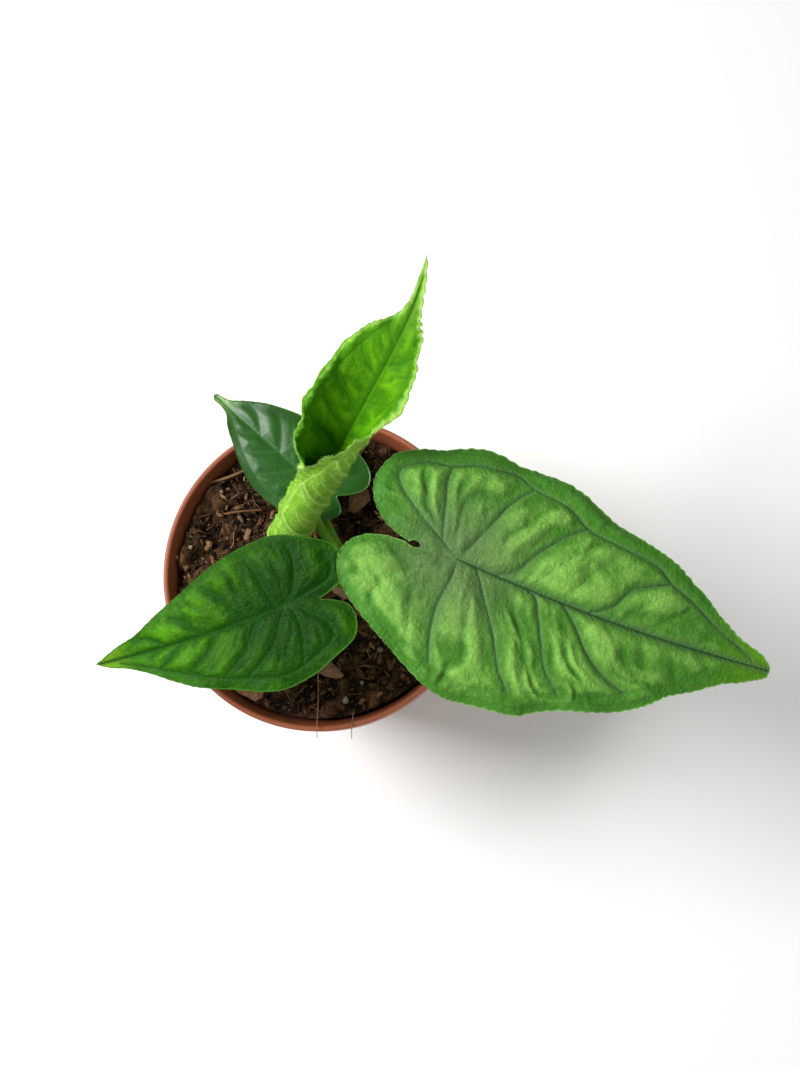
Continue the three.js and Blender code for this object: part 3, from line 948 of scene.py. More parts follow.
    def creases(self, lie: Lie) -> tuple[np.ndarray, ...]:
        """Draw what lies between the veins.

        Args:
            lie: where the points lie.

        Returns:
            At each point the wrinkles, the finer wrinkles, the fine roughness and the pillows.
        """
        x, y = lie.flat.T
        body = 1 - bell(lie.to_any, 2.4)
        inner = body * smooth(lie.to_margin, 0.5, 4)
        warp = 0.7 * self.noise.at(x / 7, y / 7)
        reach = np.abs(y) + np.maximum(-x, 0)
        streak = self.noise.rough(lie.order * 3.1 + warp, reach / 13, 2) * inner
        wrinkle = self.noise.rough(lie.order * 7.7 + 2 * warp, reach / 5.5, 2) * inner
        crepe = self.noise.rough(x / 1.9, y / 1.9, 2) * smooth(lie.to_any, 0, 1.5)
        fringe = smooth(lie.to_margin, 0, 4)
        pillow = (body - 0.5 * bell(lie.to_minor, 1.2) * body) * (0.35 + 0.65 * fringe)
        return streak, wrinkle, crepe, pillow

    def relief(self, lie: Lie, creases: tuple[np.ndarray, ...]) -> np.ndarray:
        """Add up the creases, the sunken veins, the fringe and the waves."""
        form = self.form
        streak, wrinkle, crepe, pillow = creases
        relief = form.quilt * pillow + form.streak * (streak + 0.55 * wrinkle) + form.crepe * crepe
        away = smooth(np.hypot(*lie.flat.T), 1.2, 4)
        inner = smooth(lie.to_margin, 0, 3)
        relief = relief - form.groove * bell(lie.to_lateral, 0.4) * inner * away
        inner = smooth(lie.along, 1.0, 0.8)
        relief = relief - 1.3 * form.groove * bell(lie.to_rib, 0.5) * inner * away
        return relief + self.fringe(lie) + self.waved(lie.flat)

    def build(self) -> Shape:
        """Make the blade's two faces and its edge.

        Returns:
            The shape with the values "veins", "zones" and "lay".
        """
        flat, faces, rim = self.plan()
        x, y = flat.T
        lie = self.lie(flat)
        creases = self.creases(lie)
        relief = self.relief(lie, creases)
        streak, wrinkle, crepe, pillow = creases
        # Painted light and shade: the height of each point in its wrinkles and pillows, so that crests are
        # coloured lighter and valleys darker.
        relief_shade = 0.42 + 0.45 * streak + 0.45 * wrinkle + 0.1 * crepe + 0.45 * (pillow - 0.5)
        thin = smooth(lie.to_margin, 0, self.EDGE_REACH)
        half = (self.EDGE_THICK + (self.form.thick - self.EDGE_THICK) * thin) / 2
        spine = 0.75 * bell(lie.to_rib, 0.9) * smooth(lie.along, 1.0, 0.0)
        spine = spine + 0.3 * bell(lie.to_lateral, 0.55) * thin
        points, lay = [], []
        for side in Face:
            lift = relief + half if side is Face.UPPER else relief * 0.9 - half - spine
            points.append(self.lay(x, y, lift))
            lay.append(np.stack([x, y, np.full(len(x), float(side is Face.LOWER))], 1))
        veins = np.stack([lie.to_rib, lie.to_lateral, lie.to_minor], 1)
        zones = np.stack([lie.to_margin, lie.along, np.clip(relief_shade, 0, 1)], 1)
        values = {"veins": np.tile(veins, (2, 1)), "zones": np.tile(zones, (2, 1)), "lay": np.vstack(lay)}
        count = len(flat)
        edge = quads(rim, rim + count)[:, ::-1]
        faces = [*faces.tolist(), *(faces[:, ::-1] + count).tolist(), *edge.tolist()]
        return Shape(np.vstack(points), faces, values)


def stem_route(points: list[np.ndarray], step: float) -> np.ndarray:
    """Draw a centripetal Catmull-Rom curve through points, its ends carried on straight."""
    given = [2 * points[0] - points[1], *points, 2 * points[-1] - points[-2]]
    dense = []
    for p0, p1, p2, p3 in zip(given, given[1:], given[2:], given[3:]):
        d0, d1, d2 = (math.sqrt(np.linalg.norm(b - a)) for a, b in ((p0, p1), (p1, p2), (p2, p3)))
        v0 = ((p1 - p0) / d0 - (p2 - p0) / (d0 + d1) + (p2 - p1) / d1) * d1
        v1 = ((p2 - p1) / d1 - (p3 - p1) / (d1 + d2) + (p3 - p2) / d2) * d1
        w = np.linspace(0, 1, 40, endpoint=False)[:, None]
        dense.append(hermite(p1, p2, v0, v1, w))
    return evenly(np.vstack([*dense, points[-1][None]]), step)


def tube(route: np.ndarray, radius: np.ndarray, sides: int, flute: float = 0.0) -> Shape:
    """Sweep a round section along a route.

    Args:
        route: the points of the middle line.
        radius: the radius at each.
        sides: how many sides the section has.
        flute: how far lengthwise ridges stand out, as a share of the radius.

    Returns:
        The tube, flat at both ends, with the value "tone" running from 0 to 1.
    """
    tangent = np.gradient(route, axis=0)
    tangent /= np.linalg.norm(tangent, axis=1)[:, None]
    normal = np.cross(tangent[0], (0.3, 0.8, 0.1) if abs(tangent[0][2]) > 0.5 else (0, 0, 1))
    rings = []
    turn = angles(sides)
    ridged = 1 + flute * np.cos(turn * RIDGES)
    for centre, ahead, r in zip(route, tangent, radius):
        normal = normal - ahead * normal.dot(ahead)
        normal /= np.linalg.norm(normal)
        side = np.cross(ahead, normal)
        spokes = np.outer(np.cos(turn), normal) + np.outer(np.sin(turn), side)
        rings.append(centre + spokes * (r * ridged)[:, None])
    tone = np.repeat(np.linspace(0, 1, len(rings)), sides)
    return Shape(np.vstack(rings), closed_faces(len(rings), sides), {"tone": tone})


@dataclass(frozen=True)
class Crown:
    """The crown and the corm below it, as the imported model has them."""

    x: float = 9.0
    y: float = 0.0
    top: float = 71.0
    socket_floor: float = 68.0
    profile: Line = (
        (0, 54), (3, 55.5), (6.2, 62.5), (7.6, 67.5), (7.2, 69.7), (6.4, 70.8), (4, 71.1), (0, 70.6),
    )
    roots: tuple[tuple[float, float, float], ...] = (
        (20, 25, 30), (95, 30, 26), (165, 34, 36), (235, 30, 24), (310, 24, 38),
    )
    root_start: float = 60.5
    root_course: Line = ((0.04, 0), (0.35, 0.2), (0.7, 0.5), (1, 1))
    root_radii: Point = (1.1, 0.6)
    sides: int = 72

    def build(self) -> Shape:
        """Make the corm with its roots."""
        turn = angles(self.sides)
        lumps = Noise(41)
        rings = []
        for radius, z in spline(self.profile, 0.5)[1:-1]:
            rough = 1 + 0.07 * lumps.rough(turn * 3, np.full_like(turn, z / 1.4), 3)
            rings.append(circle(radius * rough, z, self.sides) + (self.x, self.y, 0))
        points = np.vstack(rings)
        corm = Shape(points, closed_faces(len(rings), self.sides), {"tone": np.zeros(len(points))})
        return Shape.joined([corm, *(self.root(*root) for root in self.roots)])

    def root(self, turn: float, reach: float, drop: float) -> Shape:
        """Make one root, by its turn about the crown, how far it reaches and how deep it goes."""
        angle = math.radians(turn)
        length = reach - self.x * math.cos(angle)
        route = [
            np.array([
                self.x + length * out * math.cos(angle),
                self.y + length * out * math.sin(angle),
                self.root_start - drop * down,
            ])
            for out, down in self.root_course
        ]
        path = stem_route(route, 1.2)
        return tube(path, np.linspace(*self.root_radii, len(path)), 12)


class Petiole:
    """A fleshy stalk from the crown to its blade, with a sheath at its foot."""

    SIDES = 28
    STEP = 0.6
    FOOT_FLARE = 0.75
    FOOT_REACH = 6
    NECK_FLARE = 0.5
    NECK_REACH = 2.2
    FLUTE = 0.02
    BLADE_REACH = 4

    def __init__(self, form: LeafForm, blade: Blade, crown: Crown) -> None:
        """Keep the leaf's form, its blade and the crown it grows from."""
        self.form, self.blade, self.crown = form, blade, crown

    def build(self) -> Shape:
        """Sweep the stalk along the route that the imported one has."""
        form, crown = self.form, self.crown
        (x, y), *bends = form.stem
        normal = self.blade.turn[:, 2]
        end = np.array(form.place) - normal * (form.thick / 2 + GAP)
        route = [
            np.array([x, y, crown.socket_floor + GAP]),
            np.array([x, y, crown.top]),
            *(np.array(point, float) for point in bends),
            end,
        ]
        path = stem_route(route, self.STEP)
        foot, neck = form.stem_radius
        radius = foot + (neck - foot) * np.linspace(0, 1, len(path))
        height = np.r_[0, np.cumsum(np.linalg.norm(np.diff(path, axis=0), axis=1))]
        radius = radius + self.FOOT_FLARE * bell(height, self.FOOT_REACH)
        radius = radius + self.NECK_FLARE * bell(height[-1] - height, self.NECK_REACH)
        stalk = tube(path, radius, self.SIDES, self.FLUTE)
        above = (stalk.points - end) @ normal
        near = np.linalg.norm(stalk.points - end, axis=1) < self.BLADE_REACH
        stalk.points -= np.outer(np.where(near, above.clip(0), 0), normal)
        return stalk


@dataclass(frozen=True)
class Pot:
    """The nursery pot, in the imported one's sizes but for a thinner lip, with its corners rounded."""

    height: float = 74.0
    rim: float = 45.0
    collar: float = 9.0
    lip: float = 1.5
    base: float = 32.0
    shoulder: float = 42.6
    wall: float = 1.2
    floor: float = 1.8
    channel: Point = (20.5, 28.0)
    slope: float = 1.0
    rise: float = 2.2
    holes: int = 6
    hole_radius: float = 2.7
    hole_sides: int = 28
    punch: Point = (-3.0, 9.0)
    sides: int = 180
    run: float = 4.0

    def outer(self, z: float) -> float:
        """Radius of the outer wall below the collar, at a height."""
        return self.base + (self.shoulder - self.base) * min(z / (self.height - self.collar), 1)

    def inner(self, z: float) -> float:
        """Radius of the inner wall at a height."""
        return self.outer(z) - self.wall

    def profile(self) -> list[tuple[float, float, float]]:
        """Corners of the section from the axis underneath to the axis inside, with their rounding."""
        shoulder, (inner, outer) = self.height - self.collar, self.channel
        return [
            (0, 0, 0), (inner, 0, 0.4), (inner + self.slope, self.rise, 0.4),
            (outer - self.slope, self.rise, 0.4), (outer, 0, 0.4), (self.outer(0), 0, 0.8),
            (self.outer(shoulder), shoulder, 0.5), (self.rim - 0.3, shoulder, 0.5),
            (self.rim, self.height, 1.0), (self.rim - self.lip, self.height, 1.0),
            (self.inner(shoulder) + 0.2, shoulder + 1.0, 0.8),
            (self.inner(self.floor), self.floor, 1.0),
            (outer, self.floor, 0.4), (outer - self.slope, self.floor + self.rise, 0.4),
            (inner + self.slope, self.floor + self.rise, 0.4), (inner, self.floor, 0.4), (0, self.floor, 0),
        ]

    def rounded(self) -> np.ndarray:
        """The section with each corner turned into a short curve, and long runs cut up."""
        corners = self.profile()
        drawn = [corners[0][:2]]
        for before, corner, after in zip(corners, corners[1:], corners[2:]):
            p, q, r = (np.array(c[:2], float) for c in (before, corner, after))
            back, ahead = np.linalg.norm(p - q), np.linalg.norm(r - q)
            reach = min(corner[2], 0.48 * back, 0.48 * ahead)
            start, end = q + (p - q) * reach / back, q + (r - q) * reach / ahead
            for w in np.linspace(0, 1, 6):
                drawn.append(tuple((1 - w) ** 2 * start + 2 * w * (1 - w) * q + w**2 * end))
        drawn.append(corners[-1][:2])
        full = [drawn[0]]
        for start, end in zip(drawn, drawn[1:]):
            cuts = max(1, round(math.dist(start, end) / self.run))
            run = np.array(end) - start
            full += [tuple(np.array(start) + run * (i + 1) / cuts) for i in range(cuts)]
        return np.array(full)

    def build(self) -> Shape:
        """Turn the section round the axis."""
        rings = [circle(radius, z, self.sides) for radius, z in self.rounded()[1:-1]]
        points = np.vstack([*rings, [[0, 0, 0], [0, 0, self.floor]]])
        faces = tube_faces(len(rings), self.sides)
        last = (len(rings) - 1) * self.sides
        ends = len(points) - 2
        for i in range(self.sides):
            j = (i + 1) % self.sides
            faces.append([ends, j, i])
            faces.append([ends + 1, last + i, last + j])
        return Shape(points, [face[::-1] for face in faces])

    def drilled(self, piece: bpy.types.Object) -> None:
        """Cut the drain holes through the floor of the finished pot."""
        middle = sum(self.channel) / 2
        sides = self.hole_sides
        round_hole = np.vstack([circle(self.hole_radius, z, sides) for z in self.punch])
        centres = circle(middle, 0, self.holes)
        punch = Shape.joined([Shape(round_hole + centre, closed_faces(2, sides)) for centre in centres])
        mesh = bpy.data.meshes.new("punch")
        mesh.from_pydata((punch.points * MM).tolist(), [], punch.faces)
        cutter = bpy.data.objects.new("punch", mesh)
        bpy.context.scene.collection.objects.link(cutter)
        cut = piece.modifiers.new("drain_holes", "BOOLEAN")
        cut.operation, cut.solver, cut.object = "DIFFERENCE", "EXACT", cutter
        made = bpy.data.meshes.new_from_object(piece.evaluated_get(bpy.context.evaluated_depsgraph_get()))
        piece.modifiers.clear()
        piece.data = made
        bpy.data.objects.remove(cutter)


@dataclass(frozen=True)
class BarkChip:
    """A piece of bark on the soil."""

    name: str
    x: float
    y: float
    length: float
    width: float
    thick: float
    turn: float
    number: int

    CORNERS = 9
    ROUGHNESS = 0.14

    def build(self, level: float) -> Shape:
        """Make the chip, lying at a level.

        Args:
            level: the height of its underside.

        Returns:
            The chip, split along its grain.
        """
        corners = np.arange(self.CORNERS)
        rough = 1 + self.ROUGHNESS * np.sin(2.4 * corners + 1.7 * self.number)
        outline = circle(rough, 0, self.CORNERS)[:, :2] * (self.length / 2, self.width / 2)
        loop = evenly(np.vstack([outline, outline[:1]]), 0.3)[:-1]
        noise = Noise(60 + self.number)
        loop = loop * (1 + 0.05 * noise.at(loop[:, :1] * 1.2, loop[:, 1:] * 1.2))
        filling = honeycomb(loop.min(0), loop.max(0), 0.32)
        filling = filling[inside(filling, loop)]
        filling = filling[nearest(filling, [np.vstack([loop, loop[:1]])])[0] > 0.2]
        flat, faces, rim = triangulate(loop, filling)
        x, y = flat.T
        edge = nearest(flat, [np.vstack([loop, loop[:1]])])[0]
        split = noise.rough(x * 0.35, y * 2.2, 3)
        upper = self.thick * (0.55 + 0.45 * smooth(edge, 0, 0.9)) + 0.28 * split - 0.2
        lower = 0.35 * (1 - smooth(edge, 0, 0.8)) + 0.05 * split
        turn = math.radians(self.turn)
        place = np.array([[math.cos(turn), math.sin(turn)], [-math.sin(turn), math.cos(turn)]])
        ground = flat @ place + (self.x, self.y)
        points = np.vstack([np.c_[ground, level + upper], np.c_[ground, level + lower]])
        count = len(flat)
        sides = quads(rim, rim + count)[:, ::-1]
        faces = [*faces.tolist(), *(faces[:, ::-1] + count).tolist(), *sides.tolist()]
        return Shape(points, faces)


@dataclass(frozen=True)
class Strand:
    """A fibre that stands out: its course, its radius at the thick end, and its tone."""

    route: tuple[tuple[float, float, float], ...]
    radius: float
    tone: float

    SIDES = 7
    TAPER = 0.6

    def build(self) -> Shape:
        """Make the strand, which gets thinner towards its end."""
        path = spline(self.route, 1.0)
        strand = tube(path, np.linspace(self.radius, self.radius * self.TAPER, len(path)), self.SIDES)
        strand.values["tone"] = np.full(len(strand.points), self.tone)
        return strand


@dataclass(frozen=True)
class Soil:
    """Peat and coir with a crumbly top, its loose crumbs, its fibres and grains of perlite."""

    pot: Pot
    crown: Crown
    chips: tuple[BarkChip, ...]
    strands: tuple[Strand, ...]
    level: float = 67.8
    middle: float = 37
    mound: float = 1.4
    mound_width: float = 15.0
    bank: float = 2.1
    bank_width: float = 9.0
    step: float = 0.62
    sides: int = 240
    roughness: float = 1.15
    crumbs: int = 3400
    big_crumb: float = 0.95
    fibres: int = 230
    pearls: tuple[tuple[float, float, float], ...] = (
        (7.4, -35.9, 1.5), (17, -21.7, 1.1), (-42.2, 4.5, 1.0), (-38.1, 7.4, 0.9), (12, -31, 0.8),
        (-30, 24, 0.8), (-12, 30, 0.9), (24, 22, 0.8), (-24, -4, 0.7), (31, -16, 0.9),
    )

    WALL_CLEAR = 0.12
    FIBRE_CLEAR = 0.9

    def height(self, x: np.ndarray, y: np.ndarray) -> np.ndarray:
        """The soil's surface: a mound, lumps, a bank at the wall, and a flat bed under each chip."""
        away = np.hypot(x - self.crown.x, y - self.crown.y) / self.mound_width
        lumps = (
            0.5 * np.sin(0.42 * x + 1.1) * np.cos(0.37 * y - 0.4)
            + 0.35 * np.sin(0.71 * x - 0.58 * y + 2)
            + 0.25 * np.cos(0.63 * x + 0.95 * y)
        )
        from_wall = self.pot.inner(self.level) - np.hypot(x, y)
        banked = self.bank * smooth(from_wall, self.bank_width, 0)
        surface = self.level + self.mound * np.exp(-away * away) + lumps + banked
        for chip in self.chips:
            open_share = smooth(np.hypot(x - chip.x, y - chip.y) / chip.length, 0.65, 1)
            surface = self.level + (surface - self.level) * open_share
        return surface

    def ground(self, x: float, y: float) -> float:
        """The surface's height at one place."""
        return float(self.height(np.array(x), np.array(y)))

    def underside(self) -> list[Point]:
        """Corners of the section below the top: down the wall and over the channel, to the axis."""
        pot = self.pot
        inner, outer = pot.channel
        floor = pot.floor + GAP
        return [
            (pot.inner(self.middle) - GAP, self.middle), (pot.inner(floor) - GAP, floor),
            (outer + GAP, floor), (outer - pot.slope + GAP, floor + pot.rise),
            (inner + pot.slope - GAP, floor + pot.rise), (inner - GAP, floor), (1.0, floor),
        ]

    def build(self) -> Shape:
        """Make the body of the soil with its rough top."""
        noise = Noise(7)
        reach = self.pot.inner(self.level) - self.WALL_CLEAR
        loop = circle(reach, 0, self.sides)[:, :2]
        filling = honeycomb(loop.min(0), loop.max(0), self.step)
        filling = filling[np.hypot(*filling.T) < reach - self.step * 0.6]
        flat, faces, rim = triangulate(loop, filling)
        x, y = flat.T
        clods = noise.rough(x / 3.1, y / 3.1, 5)
        pits = np.abs(noise.rough(x / 2.2 + 9, y / 2.2 + 4, 4))
        rough = self.roughness * (clods - 1.3 * (0.35 - pits).clip(0))
        points, tone = [np.c_[flat, self.height(x, y) + rough - 0.3]], [0.24 + 0.24 * clods]
        faces, ring, start = faces.tolist(), rim, len(flat)
        for radius, z in self.underside():
            points.append(circle(radius, z, self.sides))
            tone.append(np.full(self.sides, 0.2))
            following = np.arange(start, start + self.sides)
            faces += quads(ring, following)[:, ::-1].tolist()
            ring, start = following, start + self.sides
        faces.append(ring.tolist()[::-1])
        return Shape(np.vstack(points), faces, {"tone": np.concatenate(tone)})

    def scatter(self, random: np.random.Generator, count: int, clear: float) -> np.ndarray:
        """Draw places on the soil, at least clear millimetres inside the wall."""
        reach = (self.pot.inner(self.level) - clear) * np.sqrt(random.uniform(0, 1, count))
        turn = random.uniform(0, 2 * math.pi, count)
        return np.stack([reach * np.cos(turn), reach * np.sin(turn)], 1)

    def lump(self, random: np.random.Generator, size: float, cuts: int) -> tuple[np.ndarray, list]:
        """Make a rough ball, by cutting up and roughening an icosahedron."""
        ball = bmesh.new()
        bmesh.ops.create_icosphere(ball, subdivisions=cuts, radius=size)
        points = np.array([tuple(v.co) for v in ball.verts])
        faces = [[v.index for v in f.verts] for f in ball.faces]
        ball.free()
        return points * random.uniform(0.6, 1.2, (len(points), 1)), faces

    def loose(self) -> Shape:
        """Make the crumbs that lie on the surface."""
        random = np.random.default_rng(11)
        places = self.scatter(random, self.crumbs, 1.2)
        sizes = 0.36 + 0.8 * random.power(0.55, self.crumbs) ** 2
        shapes = []
        for (x, y), size in zip(places, sizes):
            points, faces = self.lump(random, size, 2 if size > self.big_crumb else 1)
            turn = np.array(Euler((*random.normal(0, 0.4, 2), random.uniform(0, 6.28))).to_matrix())
            shred = (random.uniform(0.8, 2.4), random.uniform(0.4, 1.0), random.uniform(0.25, 0.8))
            points = (points * shred) @ turn.T
            points = points + (x, y, self.ground(x, y) + random.uniform(-0.35, 0.35) * size)
            tone = np.full(len(points), random.beta(1.3, 2.4))
            shapes.append(Shape(points, faces, {"tone": tone}))
        return Shape.joined(shapes)

    def perlite(self) -> Shape:
        """Make the pale grains of perlite."""
        random = np.random.default_rng(5)
        shapes = []
        for x, y, size in self.pearls:
            points, faces = self.lump(random, size * 0.8, 2)
            points = points * random.uniform(0.8, 1.1, 3)
            shapes.append(Shape(points + (x, y, self.ground(x, y) + size * 0.35), faces))
        return Shape.joined(shapes)

    def fibre(self, random: np.random.Generator, x: float, y: float) -> Shape:
        """Lay one short fibre on the soil.

        Args:
            random: where its length, bend, rise, thickness and tone are drawn from.
            x: how far to the right it starts.
            y: how far to the back it starts.

        Returns:
            The fibre, thinner towards its end.
        """
        length, heading = random.uniform(2.5, 11), random.uniform(0, 2 * math.pi)
        bend, rise = random.normal(0, 0.08), random.uniform(0.1, 1.2)
        steps = max(6, int(length / 1.3))
        share = np.linspace(0, 1, steps)
        angle = heading + bend * length * share + 0.3 * np.sin(share * 9 + x)
        route = np.cumsum(np.stack([np.cos(angle), np.sin(angle)], 1) * length / steps, 0) + (x, y)
        limit = self.pot.inner(self.level) - self.FIBRE_CLEAR
        route *= np.minimum(1, limit / np.hypot(*route.T))[:, None]
        z = self.height(*route.T) + 0.25 + rise * np.sin(math.pi * share) ** 2
        radius = random.uniform(0.07, 0.2) * (1 - 0.6 * share)
        fibre = tube(np.c_[route, z], radius, 5)
        fibre.values["tone"] = np.full(len(fibre.points), random.uniform(0.4, 0.95))
        return fibre

    def tangle(self) -> Shape:
        """Make the coir fibres and fine roots that lie on the soil, and the strands that stand out."""
        random = np.random.default_rng(23)
        fibres = [self.fibre(random, x, y) for x, y in self.scatter(random, self.fibres, 5.0)]
        return Shape.joined(fibres + [strand.build() for strand in self.strands])


@dataclass(frozen=True)
class Hairs:
    """Fine short hairs on a blade."""

    count: int
    length: float
    seed: int
    thick: float = 0.045
    margin_share: float = 0.35

    LEAN = 0.35
    MARGIN = 0.5
    FOOT = (0, 2.1, 4.2)

    def build(self, blade: Shape) -> Shape:
        """Stand hairs on a blade's underside and along its margin.

        Args:
            blade: the blade's shape with its values.

        Returns:
            The hairs, each a thin spike of three sides.
        """
        random = np.random.default_rng(self.seed)
        triangles = np.array([f[:3] for f in blade.faces])
        a, b, c = (blade.points[triangles[:, i]] for i in range(3))
        cross = np.cross(b - a, c - a)
        area = np.linalg.norm(cross, axis=1)
        under = blade.values["lay"][triangles[:, 0], 2] > 0.5
        rim = blade.values["zones"][triangles[:, 0], 0] < self.MARGIN
        on_face = under * (1 - self.margin_share) / (area * under).sum()
        on_rim = rim * self.margin_share / (area * rim).sum()
        weight = area * (on_face + on_rim)
        chosen = random.choice(len(triangles), self.count, p=weight / weight.sum())
        u, v = random.uniform(0, 1, (2, self.count))
        u, v = np.where(u + v > 1, 1 - u, u), np.where(u + v > 1, 1 - v, v)
        root = a[chosen] + (b - a)[chosen] * u[:, None] + (c - a)[chosen] * v[:, None]
        up = cross[chosen] / np.maximum(area[chosen], TINY)[:, None]
        lean = random.normal(0, self.LEAN, (self.count, 3))
        tip = root + (up + lean) * (self.length * random.uniform(0.5, 1.1, self.count))[:, None]
        side = np.cross(up, lean)
        side /= np.linalg.norm(side, axis=1)[:, None]
        other = np.cross(up, side)
        base = [root + (math.cos(t) * side + math.sin(t) * other) * self.thick for t in self.FOOT]
        points = np.stack([*base, tip], 1).reshape(-1, 3)
        first = np.arange(self.count)[:, None] * 4
        faces = np.vstack([first + (0, 1, 3), first + (1, 2, 3), first + (2, 0, 3), first + (0, 2, 1)])
        return Shape(points, faces.tolist())


@dataclass(frozen=True)
class Studio:
    """The camera at the photograph's place, a pale floor and soft light."""

    camera_place: tuple[float, float, float] = (58.62, -59.33, 484.55)
    camera_tilt: Point = (9.729, 4.926)
    lens: float = 50.0
    sensor: float = 36.0
    floor_size: float = 6000.0
    floor_colour: Colour = (0.93, 0.93, 0.92)
    world_strength: float = 0.26
    key: tuple[float, float, float] = (-540, 150, 690)
    key_power: float = 9.5
    fill: tuple[float, float, float] = (520, -420, 620)
    fill_power: float = 1.9

    def build(self) -> None:
        """Set the stage."""
        self.camera()
        self.ground()
        self.sky()
        self.lamp("key_light", self.key, self.key_power, 380)
        self.lamp("fill_light", self.fill, self.fill_power, 800)
        bpy.context.scene.view_settings.view_transform = "Standard"

    def camera(self) -> None:
        """Put the camera where the photograph was taken from."""
        data = bpy.data.cameras.new("camera")
        data.lens, data.sensor_width = self.lens, self.sensor
        data.clip_start, data.clip_end = 0.01, 20
        camera = bpy.data.objects.new("camera", data)
        camera.rotation_mode = "ZYX"
        camera.rotation_euler = (*map(math.radians, self.camera_tilt), 0)
        camera.location = [value * MM for value in self.camera_place]
        bpy.context.scene.collection.objects.link(camera)
        bpy.context.scene.camera = camera

    def ground(self) -> None:
        """Lay the pale floor."""
        half = self.floor_size * MM / 2
        mesh = bpy.data.meshes.new("floor")
        corners = [(-half, -half, 0), (half, -half, 0), (half, half, 0), (-half, half, 0)]
        mesh.from_pydata(corners, [], [(0, 1, 2, 3)])
        material = bpy.data.materials.new("pale_floor")
        material.use_nodes = True
        shader = material.node_tree.nodes["Principled BSDF"]
        shader.inputs["Base Color"].default_value = (*self.floor_colour, 1)
        shader.inputs["Roughness"].default_value = 0.9
        mesh.materials.append(material)
        floor = bpy.data.objects.new("floor", mesh)
        bpy.context.scene.collection.objects.link(floor)

    def sky(self) -> None:
        """Light everything evenly from all round."""
        world = bpy.data.worlds.new("world")
        world.use_nodes = True
        background = world.node_tree.nodes["Background"]
        background.inputs["Color"].default_value = (1, 1, 1, 1)
        background.inputs["Strength"].default_value = self.world_strength
        bpy.context.scene.world = world

    def lamp(self, name: str, place: tuple[float, float, float], power: float, size: float) -> None:
        """Hang a soft lamp that faces the plant.

        Args:
            name: its name.
            place: where it hangs.
            power: its strength in watts.
            size: how wide it is.
        """
        data = bpy.data.lights.new(name, "AREA")
        data.energy, data.size = power, size * MM
        lamp = bpy.data.objects.new(name, data)
        lamp.location = [value * MM for value in place]
        aim = lamp.location.copy()
        aim.z -= 90 * MM
        lamp.rotation_euler = aim.to_track_quat("Z", "Y").to_euler()
        bpy.context.scene.collection.objects.link(lamp)


